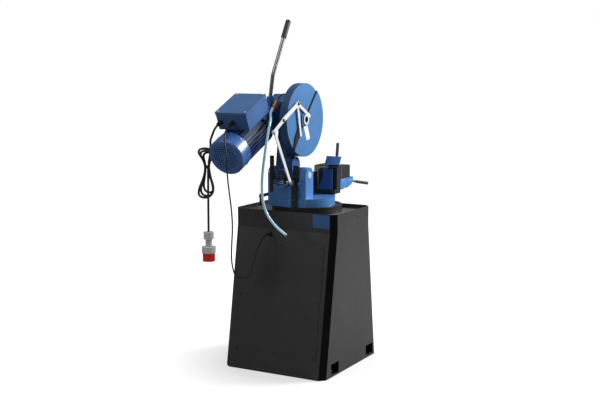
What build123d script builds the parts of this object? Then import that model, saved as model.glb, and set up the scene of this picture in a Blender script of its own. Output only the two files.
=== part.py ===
from build123d import *
import math
import os

os.makedirs("parts", exist_ok=True)

# Driving sizes of the stand, in millimetres
stand_height = 760.0
stand_width = 544.0
foot_depth = 576.0
top_rear_y = 178.0
top_front_y = -207.0
rim_height = 88.0
corner_leg = 27.0
sheet = 3.0
flange_reach = 40.0
anchor_x = 249.0
anchor_y = 262.0
anchor_hole_r = 6.5
fork_slot_z0 = 9.0
fork_slot_z1 = 62.0
fork_slot_rear = (133.0, 212.0)
fork_slot_front = (-241.0, -163.0)
rim_hole_r = 4.0
rim_hole_y = (-153.0, -64.0)
rim_hole_drop = 37.0
tray_drop = 20.0
tray_lip = 3.0
tray_sheet = 2.0
tray_gap = 0.4
ledge_reach = 14.0
drain_r = 18.0
drain_at = (190.0, -130.0)
panel_half_x = 222.0
panel_z0 = 86.0
panel_top_drop = 53.0
panel_sheet = 2.0
hatch_inset = 36.0
screw_inset = 15.0
screw_r = 2.4
grommet_x = 72.0
grommet_drop = 27.0
grommet_r = 9.0
grommet_out = 14.0
tank_side_gap = 32.0
tank_y = (-150.0, 120.0)
tank_height = 220.0
tank_wall = 3.0
pump_at = (72.0, 0.0)
pump_hole_r = 40.0
pump_leg = 150.0
pump_motor_h = 110.0

# Driving sizes of the base, the turntable and its ears
blade_x = -17.0
swivel_y = -154.0
base_r = 170.0
base_height = 35.0
base_front_y = -199.0
base_rear_y = 150.0
swivel_gap = 0.5
post_r = 30.0
run_gap = 0.05
press_gap = 0.1
drum_r = 146.0
drum_height = 40.5
drum_wall = 16.0
hub_r = 62.0
bed_gap = 2.0
pedestal_x = (-58.0, 78.0)
pedestal_y = (40.0, 140.0)
pedestal_height = 106.0
ear_right_w = 34.0
ear_left_w = 36.0
ear_half_y = 37.0
pivot_y = 92.5
pivot_rise = 167.4
pin_r = 14.0
pin_head_r = 16.0
pin_head_h = 2.0
lever_hub = (108.0, 16.0)
lever_end = (166.0, 104.0)
lever_r = 8.0
lever_knob_r = 13.0
lever_grip_r = 10.0
lever_stud_r = 8.0

# Driving sizes of the head
head_tilt = 24.5
blade_local_y = -157.9
blade_local_z = 211.7
blade_r = 157.5
blade_t = 2.5
motor_x = 117.0
wheel_pitch_r = 38.0
wheel_teeth = 24
worm_pitch_r = 13.7
tooth_add = 2.6
tooth_ded = 3.2
wheel_w = 14.0
arbor_r = 15.0
arbor_end_x = 140.0
clamp_r = 42.0
clamp_w = 7.75
bearing_r = 26.0
housing_r = 58.0
housing_x1 = 150.0
cavity_r = 46.0
tunnel_r = 24.0
tunnel_y0 = -213.0
gear_body_x0 = 70.0
gear_body_y0 = -225.0
gear_body_z = (206.0, 312.0)
pivot_tube_r = 36.0
pivot_tube_gap = 1.0
arm_x = (20.0, 74.0)
arm_boss_x = (-21.0, 24.0)
arm_boss = (95.0, stand_height + 215.0)
arm_boss_r = 38.0
bush_t = 4.0
bush_len = 30.0
cover_t = 8.0
motor_flange_t = 16.0
motor_y0 = 40.0
motor_y1 = 246.0
shield_t = 12.0
fin_r = 86.0
fin_t = 3.2
fin_count = 32
motor_tube_r = 77.0
stator_r = 70.0
rotor_r = 44.0
air_gap = 0.6
shaft_r = 11.0
cowl_r = 88.0
cowl_sheet = 2.0
cowl_round = 14.0
cowl_end_y = 325.0
grille_r = 58.0
grille_pitch = 11.0
grille_hole_r = 3.4
box_x = (36.0, 197.0)
box_y = (13.0, 203.0)
box_z0 = 342.0
box_height = 73.0
lid_height = 14.0
lid_lip = 3.0
box_wall = 3.0
gland_x = (180.0, 117.0)
gland_z = 379.0
gland_r = 10.0
gland_out = 24.0

# Driving sizes of the guards and the guard linkage
fixed_guard_r = 172.0
moving_guard_r = 177.0
guard_x = (-36.0, 4.0)
guard_sheet = 2.0
guard_step = 3.0
guard_split = 48.0
fixed_guard_end = 233.0
moving_guard_end = -127.0
boss_r = 22.0
boss_hole_r = 16.0
hub_ring_r = 25.0
hub_ring_t = 2.0
bar_t = 4.0
bar_gap = 1.0
lower_bar_w = 17.0
upper_bar_w = 21.0
bracket_bar_w = 15.0
link_anchor = (207.0, stand_height + 141.0)
link_knee = (349.6, stand_height + 383.8)
link_bolt = (262.4, stand_height + 434.3)
link_apex = (121.5, stand_height + 504.4)
bracket_leg_a = (2.0, stand_height + 441.0)
bracket_leg_b = (89.7, stand_height + 354.0)
link_pin_r = 5.0
link_head_r = 9.0
link_head_h = 5.0
link_strip_x = (-57.0, -25.0)
link_strip_top = stand_height + 146.0
link_strip_t = 10.0
link_bolt_rise = (32.5, 74.5)

# Driving sizes of the vice
bed_t = 20.0
bed_x = (-129.0, 95.0)
bed_y = (-158.0, -95.0)
tongue_x = (-75.0, 41.0)
tongue_past_nut = 14.0
jaw_top_z = stand_height + 180.0
jaw_kerf = 11.0
jaw_depth = 38.0
jaw_notch = 12.0
jaw_step_x = -80.0
jaw_step_h = 17.0
jaw_left_drop = 24.0
bracket_depth = 21.0
bracket_w = (50.0, 43.0)
web_inset = 17.0
web_foot = 82.0
bracket_drop = 2.0
shield_x = (-138.0, -58.0)
shield_foot = (-126.0, jaw_top_z + jaw_step_h + 1.0)
shield_top = (-149.0, jaw_top_z + 57.0)
shield_sheet = 4.0
carrier_x = (-93.0, 59.0)
carrier_y = (-372.0, -230.0)
carrier_top_z = stand_height + 116.0
carrier_gap = 0.3
carrier_skirt = 12.0
carrier_kerf_x = (-26.0, -8.0)
carrier_kerf_z = stand_height + 84.0
front_jaw_y = (-335.0, -243.0)
jaw_face_t = 8.0
spindle_x = 15.0
spindle_z = stand_height + 97.0
spindle_r = 11.0
nut_half_w = 13.0
nut_y = (-288.0, -262.0)
nut_cavity_wall = 12.0
vice_wheel_hub_r = 23.0
vice_wheel_hub_w = 24.0
spoke_r = 5.5
spoke_reach = 118.0
grip_reach = 185.0
grip_r = 8.0
spoke_turn = 4.0

# Driving sizes of the handle, the valve and the return spring
handle_x = 100.0
handle_r = 9.0
handle_foot = (137.5, stand_height + 494.0)
handle_bend = (104.0, stand_height + 635.5)
handle_tip = (-47.5, stand_height + 894.5)
handle_bend_r = 90.0
grip_length = 96.0
hand_grip_r = 13.0
trigger_r = 4.5
trigger_at = 30.0
trigger_out = 3.2
trigger_travel = 2.4
valve_x = 50.0
valve_top = (149.0, stand_height + 517.0)
valve_low = (191.0, stand_height + 482.0)
valve_r = 9.0
valve_stud_r = 5.0
nozzle_tube_r = 3.0
spring_x = 22.0
spring_y = 157.0
spring_coil_r = 21.0
spring_wire_r = 3.0
spring_turns = 6
spring_lug_z = stand_height + 188.0
spring_lug_t = 10.0
spring_lug_half = 26.0

# Driving sizes of the cords
hose_r = 6.2
pump_cable_r = 3.5
mains_r = 5.25
hank_at = (247.0, 450.0, stand_height + 222.0)
hank_pitch = 12.2
hank_waist = 6.1
hank_turns = 3
hank_up_wide = (1.15, 0.65, 0.85)
hank_up_tall = (1.0, 0.8, 0.9)
hank_up_lean = (10.0, -8.0, 4.0)
hank_down_wide = (1.0, 0.62, 0.85)
hank_down_tall = (1.0, 0.82, 0.92)
hank_down_lean = (14.0, -10.0, 0.0)
hank_up = 86.0
hank_down = 146.0
hank_up_w = 28.0
hank_down_w = 32.0
hank_view = 28.989
tie_slack = 0.3
plug_nut_r = 23.5
plug_neck_r = 15.0
plug_flange_r = 32.0
plug_shroud_r = 28.5
plug_nut_h = 34.0
plug_neck_h = 35.0
plug_flange_h = 28.0
plug_shroud_h = 39.0
plug_shroud_t = 3.0
plug_pin_r = 2.5

# Sizes that follow from the driving sizes
half_w = stand_width / 2
tank_half_x = half_w - tank_side_gap
pivot_z = stand_height + pivot_rise
half_d = foot_depth / 2
knee_z = stand_height - rim_height
panel_z1 = knee_z - panel_top_drop
grommet_z = knee_z - grommet_drop
ear_y = (pivot_y - ear_half_y, pivot_y + ear_half_y)
tray_z = stand_height - tray_drop
base_top = tray_z + base_height
drum_z0 = base_top + swivel_gap
drum_z1 = drum_z0 + drum_height
bed_z0 = drum_z1 + bed_gap
bed_z1 = bed_z0 + bed_t
pedestal_top = drum_z0 + pedestal_height
worm_local_z = blade_local_z + wheel_pitch_r + worm_pitch_r
worm_pitch = 2 * math.pi * wheel_pitch_r / wheel_teeth
head = Pos(0, pivot_y, pivot_z) * Rot(-head_tilt, 0, 0)
tilt_c = math.cos(math.radians(head_tilt))
tilt_s = math.sin(math.radians(head_tilt))


def to_world(y, z):
    """Height and depth of a head point in the stand's frame."""
    return (pivot_y + y * tilt_c + z * tilt_s, pivot_z - y * tilt_s + z * tilt_c)


def to_local(y, z):
    """Height and depth of a stand point in the head's frame."""
    dy = y - pivot_y
    dz = z - pivot_z
    return (dy * tilt_c - dz * tilt_s, dy * tilt_s + dz * tilt_c)


blade_y, blade_z = to_world(blade_local_y, blade_local_z)


# Small helpers for solids
def block(x, y, z):
    """A box from three pairs of limits."""
    size = Box(x[1] - x[0], y[1] - y[0], z[1] - z[0])
    return Pos((x[0] + x[1]) / 2, (y[0] + y[1]) / 2, (z[0] + z[1]) / 2) * size


def rod(p, q, r):
    """A round bar between two points."""
    run = Vector(*q) - Vector(*p)
    return extrude(Plane(origin=p, z_dir=run) * Circle(r), amount=run.length)


def pipe(p, q, r_out, r_in):
    """A round bar with a bore right through it."""
    return rod(p, q, r_out) - rod(p, q, r_in)


def side(x):
    """The plane across the saw at one x, drawn in y and z."""
    return Plane(origin=(x, 0, 0), x_dir=(0, 1, 0), z_dir=(1, 0, 0))


def slab(sketch, x):
    """A sketch in y and z made into a plate between two x limits."""
    return extrude(side(x[0]) * sketch, amount=x[1] - x[0], dir=(1, 0, 0))


def disc_x(x, y, z, r):
    """A round bar along x."""
    return rod((x[0], y, z), (x[1], y, z), r)


def flat_bar(p, q, width):
    """The outline of a flat bar with round ends, in y and z."""
    length = math.hypot(q[0] - p[0], q[1] - p[1])
    turn = math.degrees(math.atan2(q[1] - p[1], q[0] - p[0]))
    mid = Pos((p[0] + q[0]) / 2, (p[1] + q[1]) / 2)
    return mid * SlotCenterToCenter(length, width, rotation=turn)


def around_blade(r, angle):
    """A point about the blade's axis, the angle counted from the front upwards."""
    a = math.radians(angle)
    return (blade_y - r * math.cos(a), blade_z + r * math.sin(a))


def sector(r, a0, a1):
    """A slice of a disc about the blade's axis."""
    hub = (blade_y, blade_z)
    p0 = around_blade(r, a0)
    pm = around_blade(r, (a0 + a1) / 2)
    p1 = around_blade(r, a1)
    return make_face([Line(hub, p0), ThreePointArc(p0, pm, p1), Line(p1, hub)])


def spot(p, r):
    """A round outline in y and z."""
    return Pos(p[0], p[1]) * Circle(r)


def hull_of_two(p, rp, q, rq):
    """The outline round two circles in y and z, with straight sides."""
    run = math.hypot(q[0] - p[0], q[1] - p[1])
    base = math.atan2(q[1] - p[1], q[0] - p[0])
    lean = math.acos((rp - rq) / run)
    pts = []
    for centre, radius, sign in ((p, rp, 1), (q, rq, 1), (q, rq, -1), (p, rp, -1)):
        a = base + sign * lean
        pts.append((centre[0] + radius * math.cos(a), centre[1] + radius * math.sin(a)))
    return Polygon(*pts, align=None) + spot(p, rp) + spot(q, rq)


def biarc(p0, t0, p1, t1):
    """Two arcs that join two points with the given directions."""
    v = p1 - p0
    t = t0 + t1
    bend = 2 * (1 - t0.dot(t1))
    if bend < 1e-9:
        d = v.dot(v) / (4 * v.dot(t1))
    else:
        d = (-v.dot(t) + math.sqrt(v.dot(t) ** 2 + bend * v.dot(v))) / bend
    pm = (p0 + t0 * d + p1 - t1 * d) * 0.5
    tm = (p1 - t1 * d - p0 - t0 * d).normalized()
    return [TangentArc(p0, pm, tangent=t0), TangentArc(pm, p1, tangent=tm)]


def wound(points, tangents):
    """One smooth path of arcs through points with known directions."""
    edges = []
    for i in range(len(points) - 1):
        edges += biarc(points[i], tangents[i], points[i + 1], tangents[i + 1])
    return Wire(edges)


def tube_on(path, r):
    """A round tube along a path."""
    return sweep(Plane(origin=path @ 0, z_dir=path % 0) * Circle(r), path=path)


def cord_path(name, points):
    """Straight runs and tangent arcs through hand-picked points, with its radii printed."""
    vectors = [Vector(*p) for p in points]
    radii = []
    for a, b, c in zip(vectors, vectors[1:], vectors[2:]):
        turn = math.radians((b - a).get_angle(c - b))
        shorter = min((b - a).length, (c - b).length)
        radii.append(0.45 * shorter / math.tan(turn / 2))
    print(name, "radii", [round(r) for r in radii])
    return FilletPolyline(*points, radius=radii)


def cord_tube(name, points, r):
    """A cord swept along its path, with its volume compared with section times length."""
    path = cord_path(name, points)
    solid = tube_on(path, r)
    share = solid.volume / (math.pi * r * r * path.length)
    print(name, "length", round(path.length), "volume share", round(share, 4))
    return solid


# The stand: a tapered sheet-metal cabinet
def plan(inset, y0, y1):
    """The eight-sided plan of the cabinet at one height."""
    x = half_w - inset
    a = y0 + inset
    b = y1 - inset
    c = corner_leg - inset * (2 - math.sqrt(2))
    pts = [
        (-x + c, a),
        (x - c, a),
        (x, a + c),
        (x, b - c),
        (x - c, b),
        (-x + c, b),
        (-x, b - c),
        (-x, a + c),
    ]
    return Polygon(*pts, align=None)


def cabinet_form(inset):
    """The cabinet's outside, drawn in by one inset."""
    foot = plan(inset, -half_d, half_d)
    knee = Pos(0, 0, knee_z) * plan(inset, top_front_y, top_rear_y)
    return loft([foot, knee], ruled=True) + extrude(knee, amount=rim_height)


slope = math.atan2(half_d - top_rear_y, knee_z)
rear_wall = Plane(
    origin=(0, top_rear_y, knee_z), x_dir=(1, 0, 0), z_dir=(0, math.cos(slope), math.sin(slope))
)


def down_wall(z):
    """How far a height lies down the sloping rear wall, from its top."""
    return (knee_z - z) / math.cos(slope)


panel_v0 = down_wall(panel_z1)
panel_v1 = down_wall(panel_z0)
screw_u = panel_half_x - screw_inset
screw_rows = (panel_v0 + screw_inset + 5, (panel_v0 + panel_v1) / 2, panel_v1 - screw_inset)
screw_spots = [(u, v) for v in screw_rows for u in (-screw_u, 0, screw_u)]
screw_spots = [s for s in screw_spots if s != (0, screw_rows[1])]


def on_wall(u, v, w0, w1, r):
    """A round bar square to the sloping rear wall."""
    return rear_wall * (Pos(u, v, (w0 + w1) / 2) * Cylinder(r, w1 - w0))


def on_wall_block(u, v, w):
    """A box laid on the sloping rear wall."""
    return rear_wall * block(u, v, w)


inside = cabinet_form(sheet)
hollow = inside - block((-half_w, half_w), (-half_d, half_d), (-1, sheet))
cabinet = cabinet_form(0) - hollow
mouth_x = half_w - sheet - flange_reach
mouth_y = half_d - sheet - flange_reach
cabinet -= block((-mouth_x, mouth_x), (-mouth_y, mouth_y), (-1, sheet + 1))
cabinet -= block(
    (-half_w - 1, half_w + 1),
    (top_front_y + 20, top_rear_y - 20),
    (stand_height - 0.01, stand_height + 1),
)
ledge = extrude(
    Pos(0, 0, tray_z - tray_sheet - sheet) * plan(sheet - 1, top_front_y, top_rear_y),
    amount=sheet,
)
ledge -= extrude(
    Pos(0, 0, tray_z - tray_sheet - sheet - 1) * plan(sheet + ledge_reach, top_front_y, top_rear_y),
    amount=sheet + 2,
)
cabinet += ledge
for slot in (fork_slot_rear, fork_slot_front):
    cabinet -= block((-half_w - 1, half_w + 1), slot, (fork_slot_z0, fork_slot_z1))
for y in rim_hole_y:
    cabinet -= disc_x((-half_w - 1, -half_w + sheet + 1), y, stand_height - rim_hole_drop, rim_hole_r)
for sx in (-1, 1):
    for sy in (-1, 1):
        cabinet -= rod(
            (sx * anchor_x, sy * anchor_y, -1),
            (sx * anchor_x, sy * anchor_y, sheet + 1),
            anchor_hole_r,
        )
cabinet -= on_wall_block(
    (-panel_half_x + hatch_inset, panel_half_x - hatch_inset),
    (panel_v0 + hatch_inset, panel_v1 - hatch_inset),
    (-3 * sheet, sheet),
)
for u, v in screw_spots:
    cabinet -= on_wall(u, v, -3 * sheet, sheet, screw_r + 0.2)
grommet_v = down_wall(grommet_z)
cabinet -= on_wall(grommet_x, grommet_v, -3 * sheet, sheet, grommet_r - 2.5)

rear_panel = on_wall_block((-panel_half_x, panel_half_x), (panel_v0, panel_v1), (0, panel_sheet))
for u, v in screw_spots:
    rear_panel -= on_wall(u, v, -1, panel_sheet + 1, screw_r + 0.2)
grommet = on_wall(grommet_x, grommet_v, 0, 5, grommet_r + 3) + on_wall(
    grommet_x,
    grommet_v,
    4,
    grommet_out,
    grommet_r,
)
pump_cable_grommet = grommet + on_wall(grommet_x, grommet_v, -2 * sheet, 1, grommet_r - 2.7)

tray_out = sheet + tray_gap
tray_rise = tray_lip
chip_tray = extrude(
    Pos(0, 0, tray_z - tray_sheet) * plan(tray_out, top_front_y, top_rear_y), amount=tray_sheet + tray_rise
)
chip_tray -= extrude(
    Pos(0, 0, tray_z) * plan(tray_out + tray_sheet, top_front_y, top_rear_y),
    amount=tray_drop,
)
chip_tray -= rod((*drain_at, tray_z - 5), (*drain_at, tray_z + 1), drain_r)

tank_top = sheet + tank_height
coolant_tank = block((-tank_half_x, tank_half_x), tank_y, (sheet, tank_top))
coolant_tank -= block(
    (-tank_half_x + tank_wall, tank_half_x - tank_wall),
    (tank_y[0] + tank_wall, tank_y[1] - tank_wall),
    (sheet + tank_wall, tank_top - tank_wall),
)
coolant_tank -= rod((*pump_at, tank_top - 10), (*pump_at, tank_top + 1), pump_hole_r)
coolant_tank -= rod((*drain_at, tank_top - 10), (*drain_at, tank_top + 1), drain_r + 6)
coolant_pump = rod((*pump_at, tank_top), (*pump_at, tank_top + 8), pump_hole_r + 14)
coolant_pump += rod((*pump_at, tank_top - pump_leg), (*pump_at, tank_top + 1), pump_hole_r - 4)
coolant_pump += rod((*pump_at, tank_top + 7), (*pump_at, tank_top + pump_motor_h), pump_hole_r + 6)

# The base plate, its post and the turntable
base_plate = rod((blade_x, -20, tray_z), (blade_x, -20, base_top), base_r)
base_plate &= block((-400, 400), (base_front_y, base_rear_y), (tray_z - 1, base_top + 1))
base_plate += rod((blade_x, swivel_y, base_top - 1), (blade_x, swivel_y, bed_z0), post_r)

ear_right_x = (pedestal_x[0] - ear_right_w, pedestal_x[0])
ear_left_x = (pedestal_x[1], pedestal_x[1] + ear_left_w)
turntable = rod((blade_x, 0, drum_z0), (blade_x, 0, drum_z1), drum_r)
turntable += rod((blade_x, swivel_y, drum_z0), (blade_x, swivel_y, drum_z1), hub_r)
turntable += block(pedestal_x, pedestal_y, (drum_z0, pedestal_top))
for ear_x in (ear_right_x, ear_left_x):
    turntable += block(ear_x, ear_y, (drum_z0, pivot_z)) + disc_x(ear_x, pivot_y, pivot_z, ear_half_y)
under = rod((blade_x, 0, drum_z0 - 1), (blade_x, 0, drum_z1 - drum_wall), drum_r - drum_wall)
under -= block((-400, 400), (swivel_y - hub_r, swivel_y + hub_r + 6), (0, 2000))
turntable -= under
turntable += block(
    (spring_x - spring_lug_half, spring_x + spring_lug_half),
    (pedestal_y[1] - 8, spring_y + spring_coil_r + 4),
    (pedestal_top - spring_lug_t, pedestal_top),
)
turntable -= rod((blade_x, swivel_y, drum_z0 - 1), (blade_x, swivel_y, drum_z1 + 1), post_r + run_gap)
turntable -= disc_x((ear_right_x[0] - 1, ear_left_x[1] + 1), pivot_y, pivot_z, pin_r + press_gap)

pivot_pin = disc_x((ear_right_x[0] - pin_head_h, ear_left_x[1] + pin_head_h), pivot_y, pivot_z, pin_r)
pivot_pin += disc_x((ear_right_x[0] - pin_head_h, ear_right_x[0]), pivot_y, pivot_z, pin_head_r)

lever_z = drum_z1 + 20
lock_lever = rod((*lever_hub, drum_z1 + 8), (*lever_hub, lever_z + 8), 13)
lever_tip = (*lever_end, lever_z - 22)
lock_lever += rod((*lever_hub, lever_z), lever_tip, lever_r)
lock_lever += Pos(*lever_tip) * Sphere(lever_knob_r)
lever_foot = (*lever_end, stand_height + lever_grip_r + 6)
lock_lever += rod(lever_tip, lever_foot, lever_grip_r) + Pos(*lever_foot) * Sphere(lever_grip_r)
lock_lever -= rod((*lever_hub, drum_z1), (*lever_hub, lever_z + 30), lever_stud_r + run_gap)
lever_stud = rod((*lever_hub, drum_z1), (*lever_hub, drum_z1 + 8), lever_stud_r + 6)
lever_stud += rod((*lever_hub, drum_z1 - 4), (*lever_hub, lever_z + 12), lever_stud_r)
turntable += lever_stud

# The guard planes, counted outwards from the fixed guard
face_x = (guard_x[0] - guard_step - guard_sheet, guard_x[0] - guard_step)
bracket_x = (face_x[0] - bar_t, face_x[0])
upper_x = (bracket_x[0] - bar_gap - bar_t, bracket_x[0] - bar_gap)
lower_x = (upper_x[0] - bar_gap - bar_t, upper_x[0] - bar_gap)

# The guard linkage and the strip that carries it
strip_y = (pedestal_y[1], pedestal_y[1] + link_strip_t)
strip_z0 = drum_z1 + 1
link_bracket = block(link_strip_x, strip_y, (strip_z0, link_strip_top))
link_bracket += block(link_strip_x, (drum_r + press_gap, strip_y[1]), (drum_z0 + 1.5, strip_z0 + 5))
lug_x = (lower_x[1] + bar_gap / 2, lower_x[1] + bar_gap / 2 + 6)
lug = flat_bar((strip_y[1] - 2, link_anchor[1] - 11), link_anchor, 26)
link_bracket += slab(lug, lug_x) & block((-400, 400), (strip_y[0], 900), (0, 2000))
link_bracket -= disc_x((lug_x[0] - 1, lug_x[1] + 1), *link_anchor, link_pin_r + press_gap)
strip_mid = (link_strip_x[0] + link_strip_x[1]) / 2
bolt_rows = [drum_z0 + rise for rise in link_bolt_rise]
for z in bolt_rows:
    link_bracket -= rod((strip_mid, strip_y[0] - 1, z), (strip_mid, strip_y[1] + 1, z), 5)
anchor_pin = disc_x((lower_x[0] - bar_gap / 2 - link_head_h, lug_x[1]), *link_anchor, link_pin_r)
anchor_pin += disc_x(
    (lower_x[0] - bar_gap / 2 - link_head_h, lower_x[0] - bar_gap / 2),
    *link_anchor,
    link_head_r,
)

lower_link = slab(flat_bar(link_anchor, link_knee, lower_bar_w), lower_x)
lower_link -= disc_x((lower_x[0] - 1, lower_x[1] + 1), *link_anchor, link_pin_r + run_gap)
knee_pin = disc_x((lower_x[0] - link_head_h, upper_x[1] + bar_gap / 2), *link_knee, link_pin_r)
knee_pin += disc_x((lower_x[0] - link_head_h, lower_x[0]), *link_knee, link_head_r)
knee_pin += disc_x((upper_x[1] + bar_gap / 2, upper_x[1] + bar_gap / 2 + 3), *link_knee, link_head_r - 1)
lower_link += knee_pin

upper_link = slab(
    flat_bar(link_knee, link_bolt, lower_bar_w) + flat_bar(link_bolt, link_apex, upper_bar_w),
    upper_x,
)
upper_link -= disc_x((upper_x[0] - 1, upper_x[1] + 1), *link_knee, link_pin_r + run_gap)
for p in (link_bolt, link_apex):
    upper_link -= disc_x((upper_x[0] - 1, upper_x[1] + 1), *p, link_pin_r + press_gap)

# The fixed and the moving guard
fixed_in = fixed_guard_r - guard_sheet
outer_plate = sector(fixed_guard_r, guard_split, fixed_guard_end) + spot((blade_y, blade_z), boss_r + 18)
inner_plate = sector(fixed_guard_r, guard_split, fixed_guard_end) + spot((blade_y, blade_z), housing_r)
rim = sector(fixed_guard_r, guard_split, fixed_guard_end) - spot((blade_y, blade_z), fixed_in)
fixed_guard = slab(outer_plate, (guard_x[0], guard_x[0] + guard_sheet))
fixed_guard += slab(inner_plate, (guard_x[1] - guard_sheet, guard_x[1]))
fixed_guard += slab(rim, guard_x)
fixed_guard += disc_x((face_x[0] - guard_step, guard_x[0] + 1), blade_y, blade_z, boss_r)
fixed_guard -= disc_x((-100, guard_x[0] + 5), blade_y, blade_z, boss_hole_r)
fixed_guard -= disc_x((guard_x[1] - guard_sheet - 1, guard_x[1] + 1), blade_y, blade_z, clamp_r + 4)
ring_x = (face_x[0] - guard_step - hub_ring_t, face_x[0] - guard_step)
guard_hub_ring = disc_x(ring_x, blade_y, blade_z, hub_ring_r) - disc_x(
    (-100, 0),
    blade_y,
    blade_z,
    boss_hole_r,
)

moving_in = moving_guard_r - guard_sheet
hub_point = (blade_y, blade_z)
guard_face = sector(moving_guard_r, moving_guard_end, guard_split) + spot(hub_point, boss_r + 16)
guard_rim = sector(moving_guard_r, moving_guard_end, guard_split) - spot(hub_point, moving_in)
moving_guard = slab(guard_face, face_x) + slab(guard_rim, (face_x[0], guard_x[1] - guard_sheet))
moving_guard += disc_x((face_x[0], face_x[1] + guard_step - 1), blade_y, blade_z, boss_r + 8)
moving_guard -= disc_x((-100, 10), blade_y, blade_z, boss_r + run_gap)
guard_legs = flat_bar(link_apex, bracket_leg_a, bracket_bar_w) + flat_bar(
    link_apex,
    bracket_leg_b,
    bracket_bar_w,
)
guard_bracket = slab(guard_legs - spot(hub_point, hub_ring_r + 1), bracket_x)

# The blade, its arbor and the worm wheel
blade_face = blade_x - blade_t / 2
blade_back = blade_x + blade_t / 2
arbor_out = blade_face - clamp_w
blade = disc_x((blade_face, blade_back), blade_y, blade_z, blade_r)
blade -= disc_x((blade_face - 1, blade_back + 1), blade_y, blade_z, arbor_r + press_gap)
arbor = disc_x((arbor_out, arbor_end_x), blade_y, blade_z, arbor_r)
arbor += disc_x((blade_back, blade_back + 9), blade_y, blade_z, clamp_r)
arbor -= disc_x((arbor_out - 1, arbor_out + 32), blade_y, blade_z, 6)
blade_clamp = disc_x((arbor_out, blade_face), blade_y, blade_z, clamp_r)
blade_clamp -= disc_x((arbor_out - 1, blade_face + 1), blade_y, blade_z, arbor_r + press_gap)
blade_clamp += disc_x((arbor_out - 6, arbor_out), blade_y, blade_z, 18)
blade_clamp += disc_x((arbor_out - 1, arbor_out + 28), blade_y, blade_z, 5.8)

wheel_x = (motor_x - wheel_w / 2, motor_x + wheel_w / 2)
wheel_root = wheel_pitch_r - tooth_ded
wheel_tip = wheel_pitch_r + tooth_add
tooth_pitch = worm_pitch
root_half = 0.215 * tooth_pitch
tip_half = 0.115 * tooth_pitch
wheel_outline = Circle(wheel_root)
for i in range(wheel_teeth):
    turn = (i + 0.5) * 360 / wheel_teeth
    tooth = Polygon(
        (-root_half, wheel_root - 1),
        (root_half, wheel_root - 1),
        (tip_half, wheel_tip),
        (-tip_half, wheel_tip),
        align=None,
    )
    wheel_outline += Rot(0, 0, turn) * tooth
wheel_outline -= Circle(arbor_r + press_gap)
worm_wheel = head * slab(Pos(blade_local_y, blade_local_z) * wheel_outline, wheel_x)

# The worm on the motor's shaft
worm_root = worm_pitch_r - tooth_ded
worm_tip = worm_pitch_r + tooth_add
worm_turns = 5
worm_z0 = blade_local_y - worm_pitch / 4 - worm_turns / 2 * worm_pitch + worm_pitch / 2
helix = Helix(pitch=worm_pitch, height=worm_turns * worm_pitch, radius=worm_root)
thread_plane = Plane(origin=helix @ 0, x_dir=(1, 0, 0), z_dir=helix % 0)
thread_form = Polygon(
    (-0.6, -root_half),
    (tooth_ded + tooth_add, -tip_half),
    (tooth_ded + tooth_add, tip_half),
    (-0.6, root_half),
    align=None,
)
thread = sweep(thread_plane * thread_form, path=helix, is_frenet=True)
worm_core = Pos(0, 0, worm_turns * worm_pitch / 2) * Cylinder(worm_root, (worm_turns + 1.5) * worm_pitch)
worm = Pos(0, 0, worm_z0) * (worm_core + thread)
worm_a = worm_z0 - 0.75 * worm_pitch
worm_b = worm_z0 + (worm_turns + 0.75) * worm_pitch
shaft_end = motor_y1 + shield_t + 42
shaft = worm + Pos(0, 0, (tunnel_y0 + 2 + worm_a) / 2) * Cylinder(shaft_r, worm_a - tunnel_y0 - 2)
shaft += Pos(0, 0, (worm_b + shaft_end) / 2) * Cylinder(shaft_r, shaft_end - worm_b)
on_motor = head * Pos(motor_x, 0, worm_local_z) * Rot(-90, 0, 0)
worm_shaft = on_motor * shaft


def along_motor(y, r):
    """A round bar on the motor's axis, in the head's frame."""
    return rod((motor_x, y[0], worm_local_z), (motor_x, y[1], worm_local_z), r)


def ring_motor(y, r_out, r_in):
    """A ring on the motor's axis, in the head's frame."""
    return along_motor(y, r_out) - along_motor((y[0] - 1, y[1] + 1), r_in)


# The gearbox casting
c_local = (blade_local_y, blade_local_z)
flange_y = (motor_y0 - motor_flange_t, motor_y0)
tube_x = (pedestal_x[0] + pivot_tube_gap, pedestal_x[1] - pivot_tube_gap)
gearbox = disc_x((guard_x[1], housing_x1), *c_local, housing_r)
body_x = (gear_body_x0, housing_x1)
body = block(body_x, (gear_body_y0, flange_y[0] + 1), gear_body_z)
body = fillet([e for e in body.edges().filter_by(Axis.Y)], 14)
gearbox += body
gearbox += along_motor(flange_y, fin_r)
gearbox += slab(hull_of_two((0, 0), pivot_tube_r, c_local, housing_r - 4), arm_x)
gearbox += disc_x(tube_x, 0, 0, pivot_tube_r)
gearbox += slab(hull_of_two((0, 0), pivot_tube_r, to_local(*arm_boss), arm_boss_r), arm_boss_x)
foot_local = to_local(*handle_foot)
bend_local = to_local(*handle_bend)
boss_run = Vector(0, bend_local[0] - foot_local[0], bend_local[1] - foot_local[1]).normalized()
boss_start = Vector(handle_x, *foot_local)
boss_a = boss_start - boss_run * 24
boss_b = boss_start + boss_run * 40
gearbox += rod(boss_a, boss_b, handle_r + 8)
valve_mid = to_local((valve_top[0] + valve_low[0]) / 2, (valve_top[1] + valve_low[1]) / 2)
stud_z = valve_mid[1] - valve_r - 8
gearbox += block(
    (valve_x - 9, gear_body_x0 + 20), (valve_mid[0] - 11, valve_mid[0] + 11), (gear_body_z[1] - 16, stud_z)
)
gearbox -= block((-400, 400), (0, 400), (box_z0, 900))
gearbox -= disc_x((housing_x1 - 54, housing_x1 + 1), *c_local, cavity_r)
gearbox -= disc_x((guard_x[1] - 1, housing_x1), *c_local, bearing_r)
gearbox -= along_motor((tunnel_y0, motor_y0 + 1), tunnel_r)
gearbox -= disc_x((tube_x[0] - 1, tube_x[1] + 1), 0, 0, pin_r + bush_t + run_gap)
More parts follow.
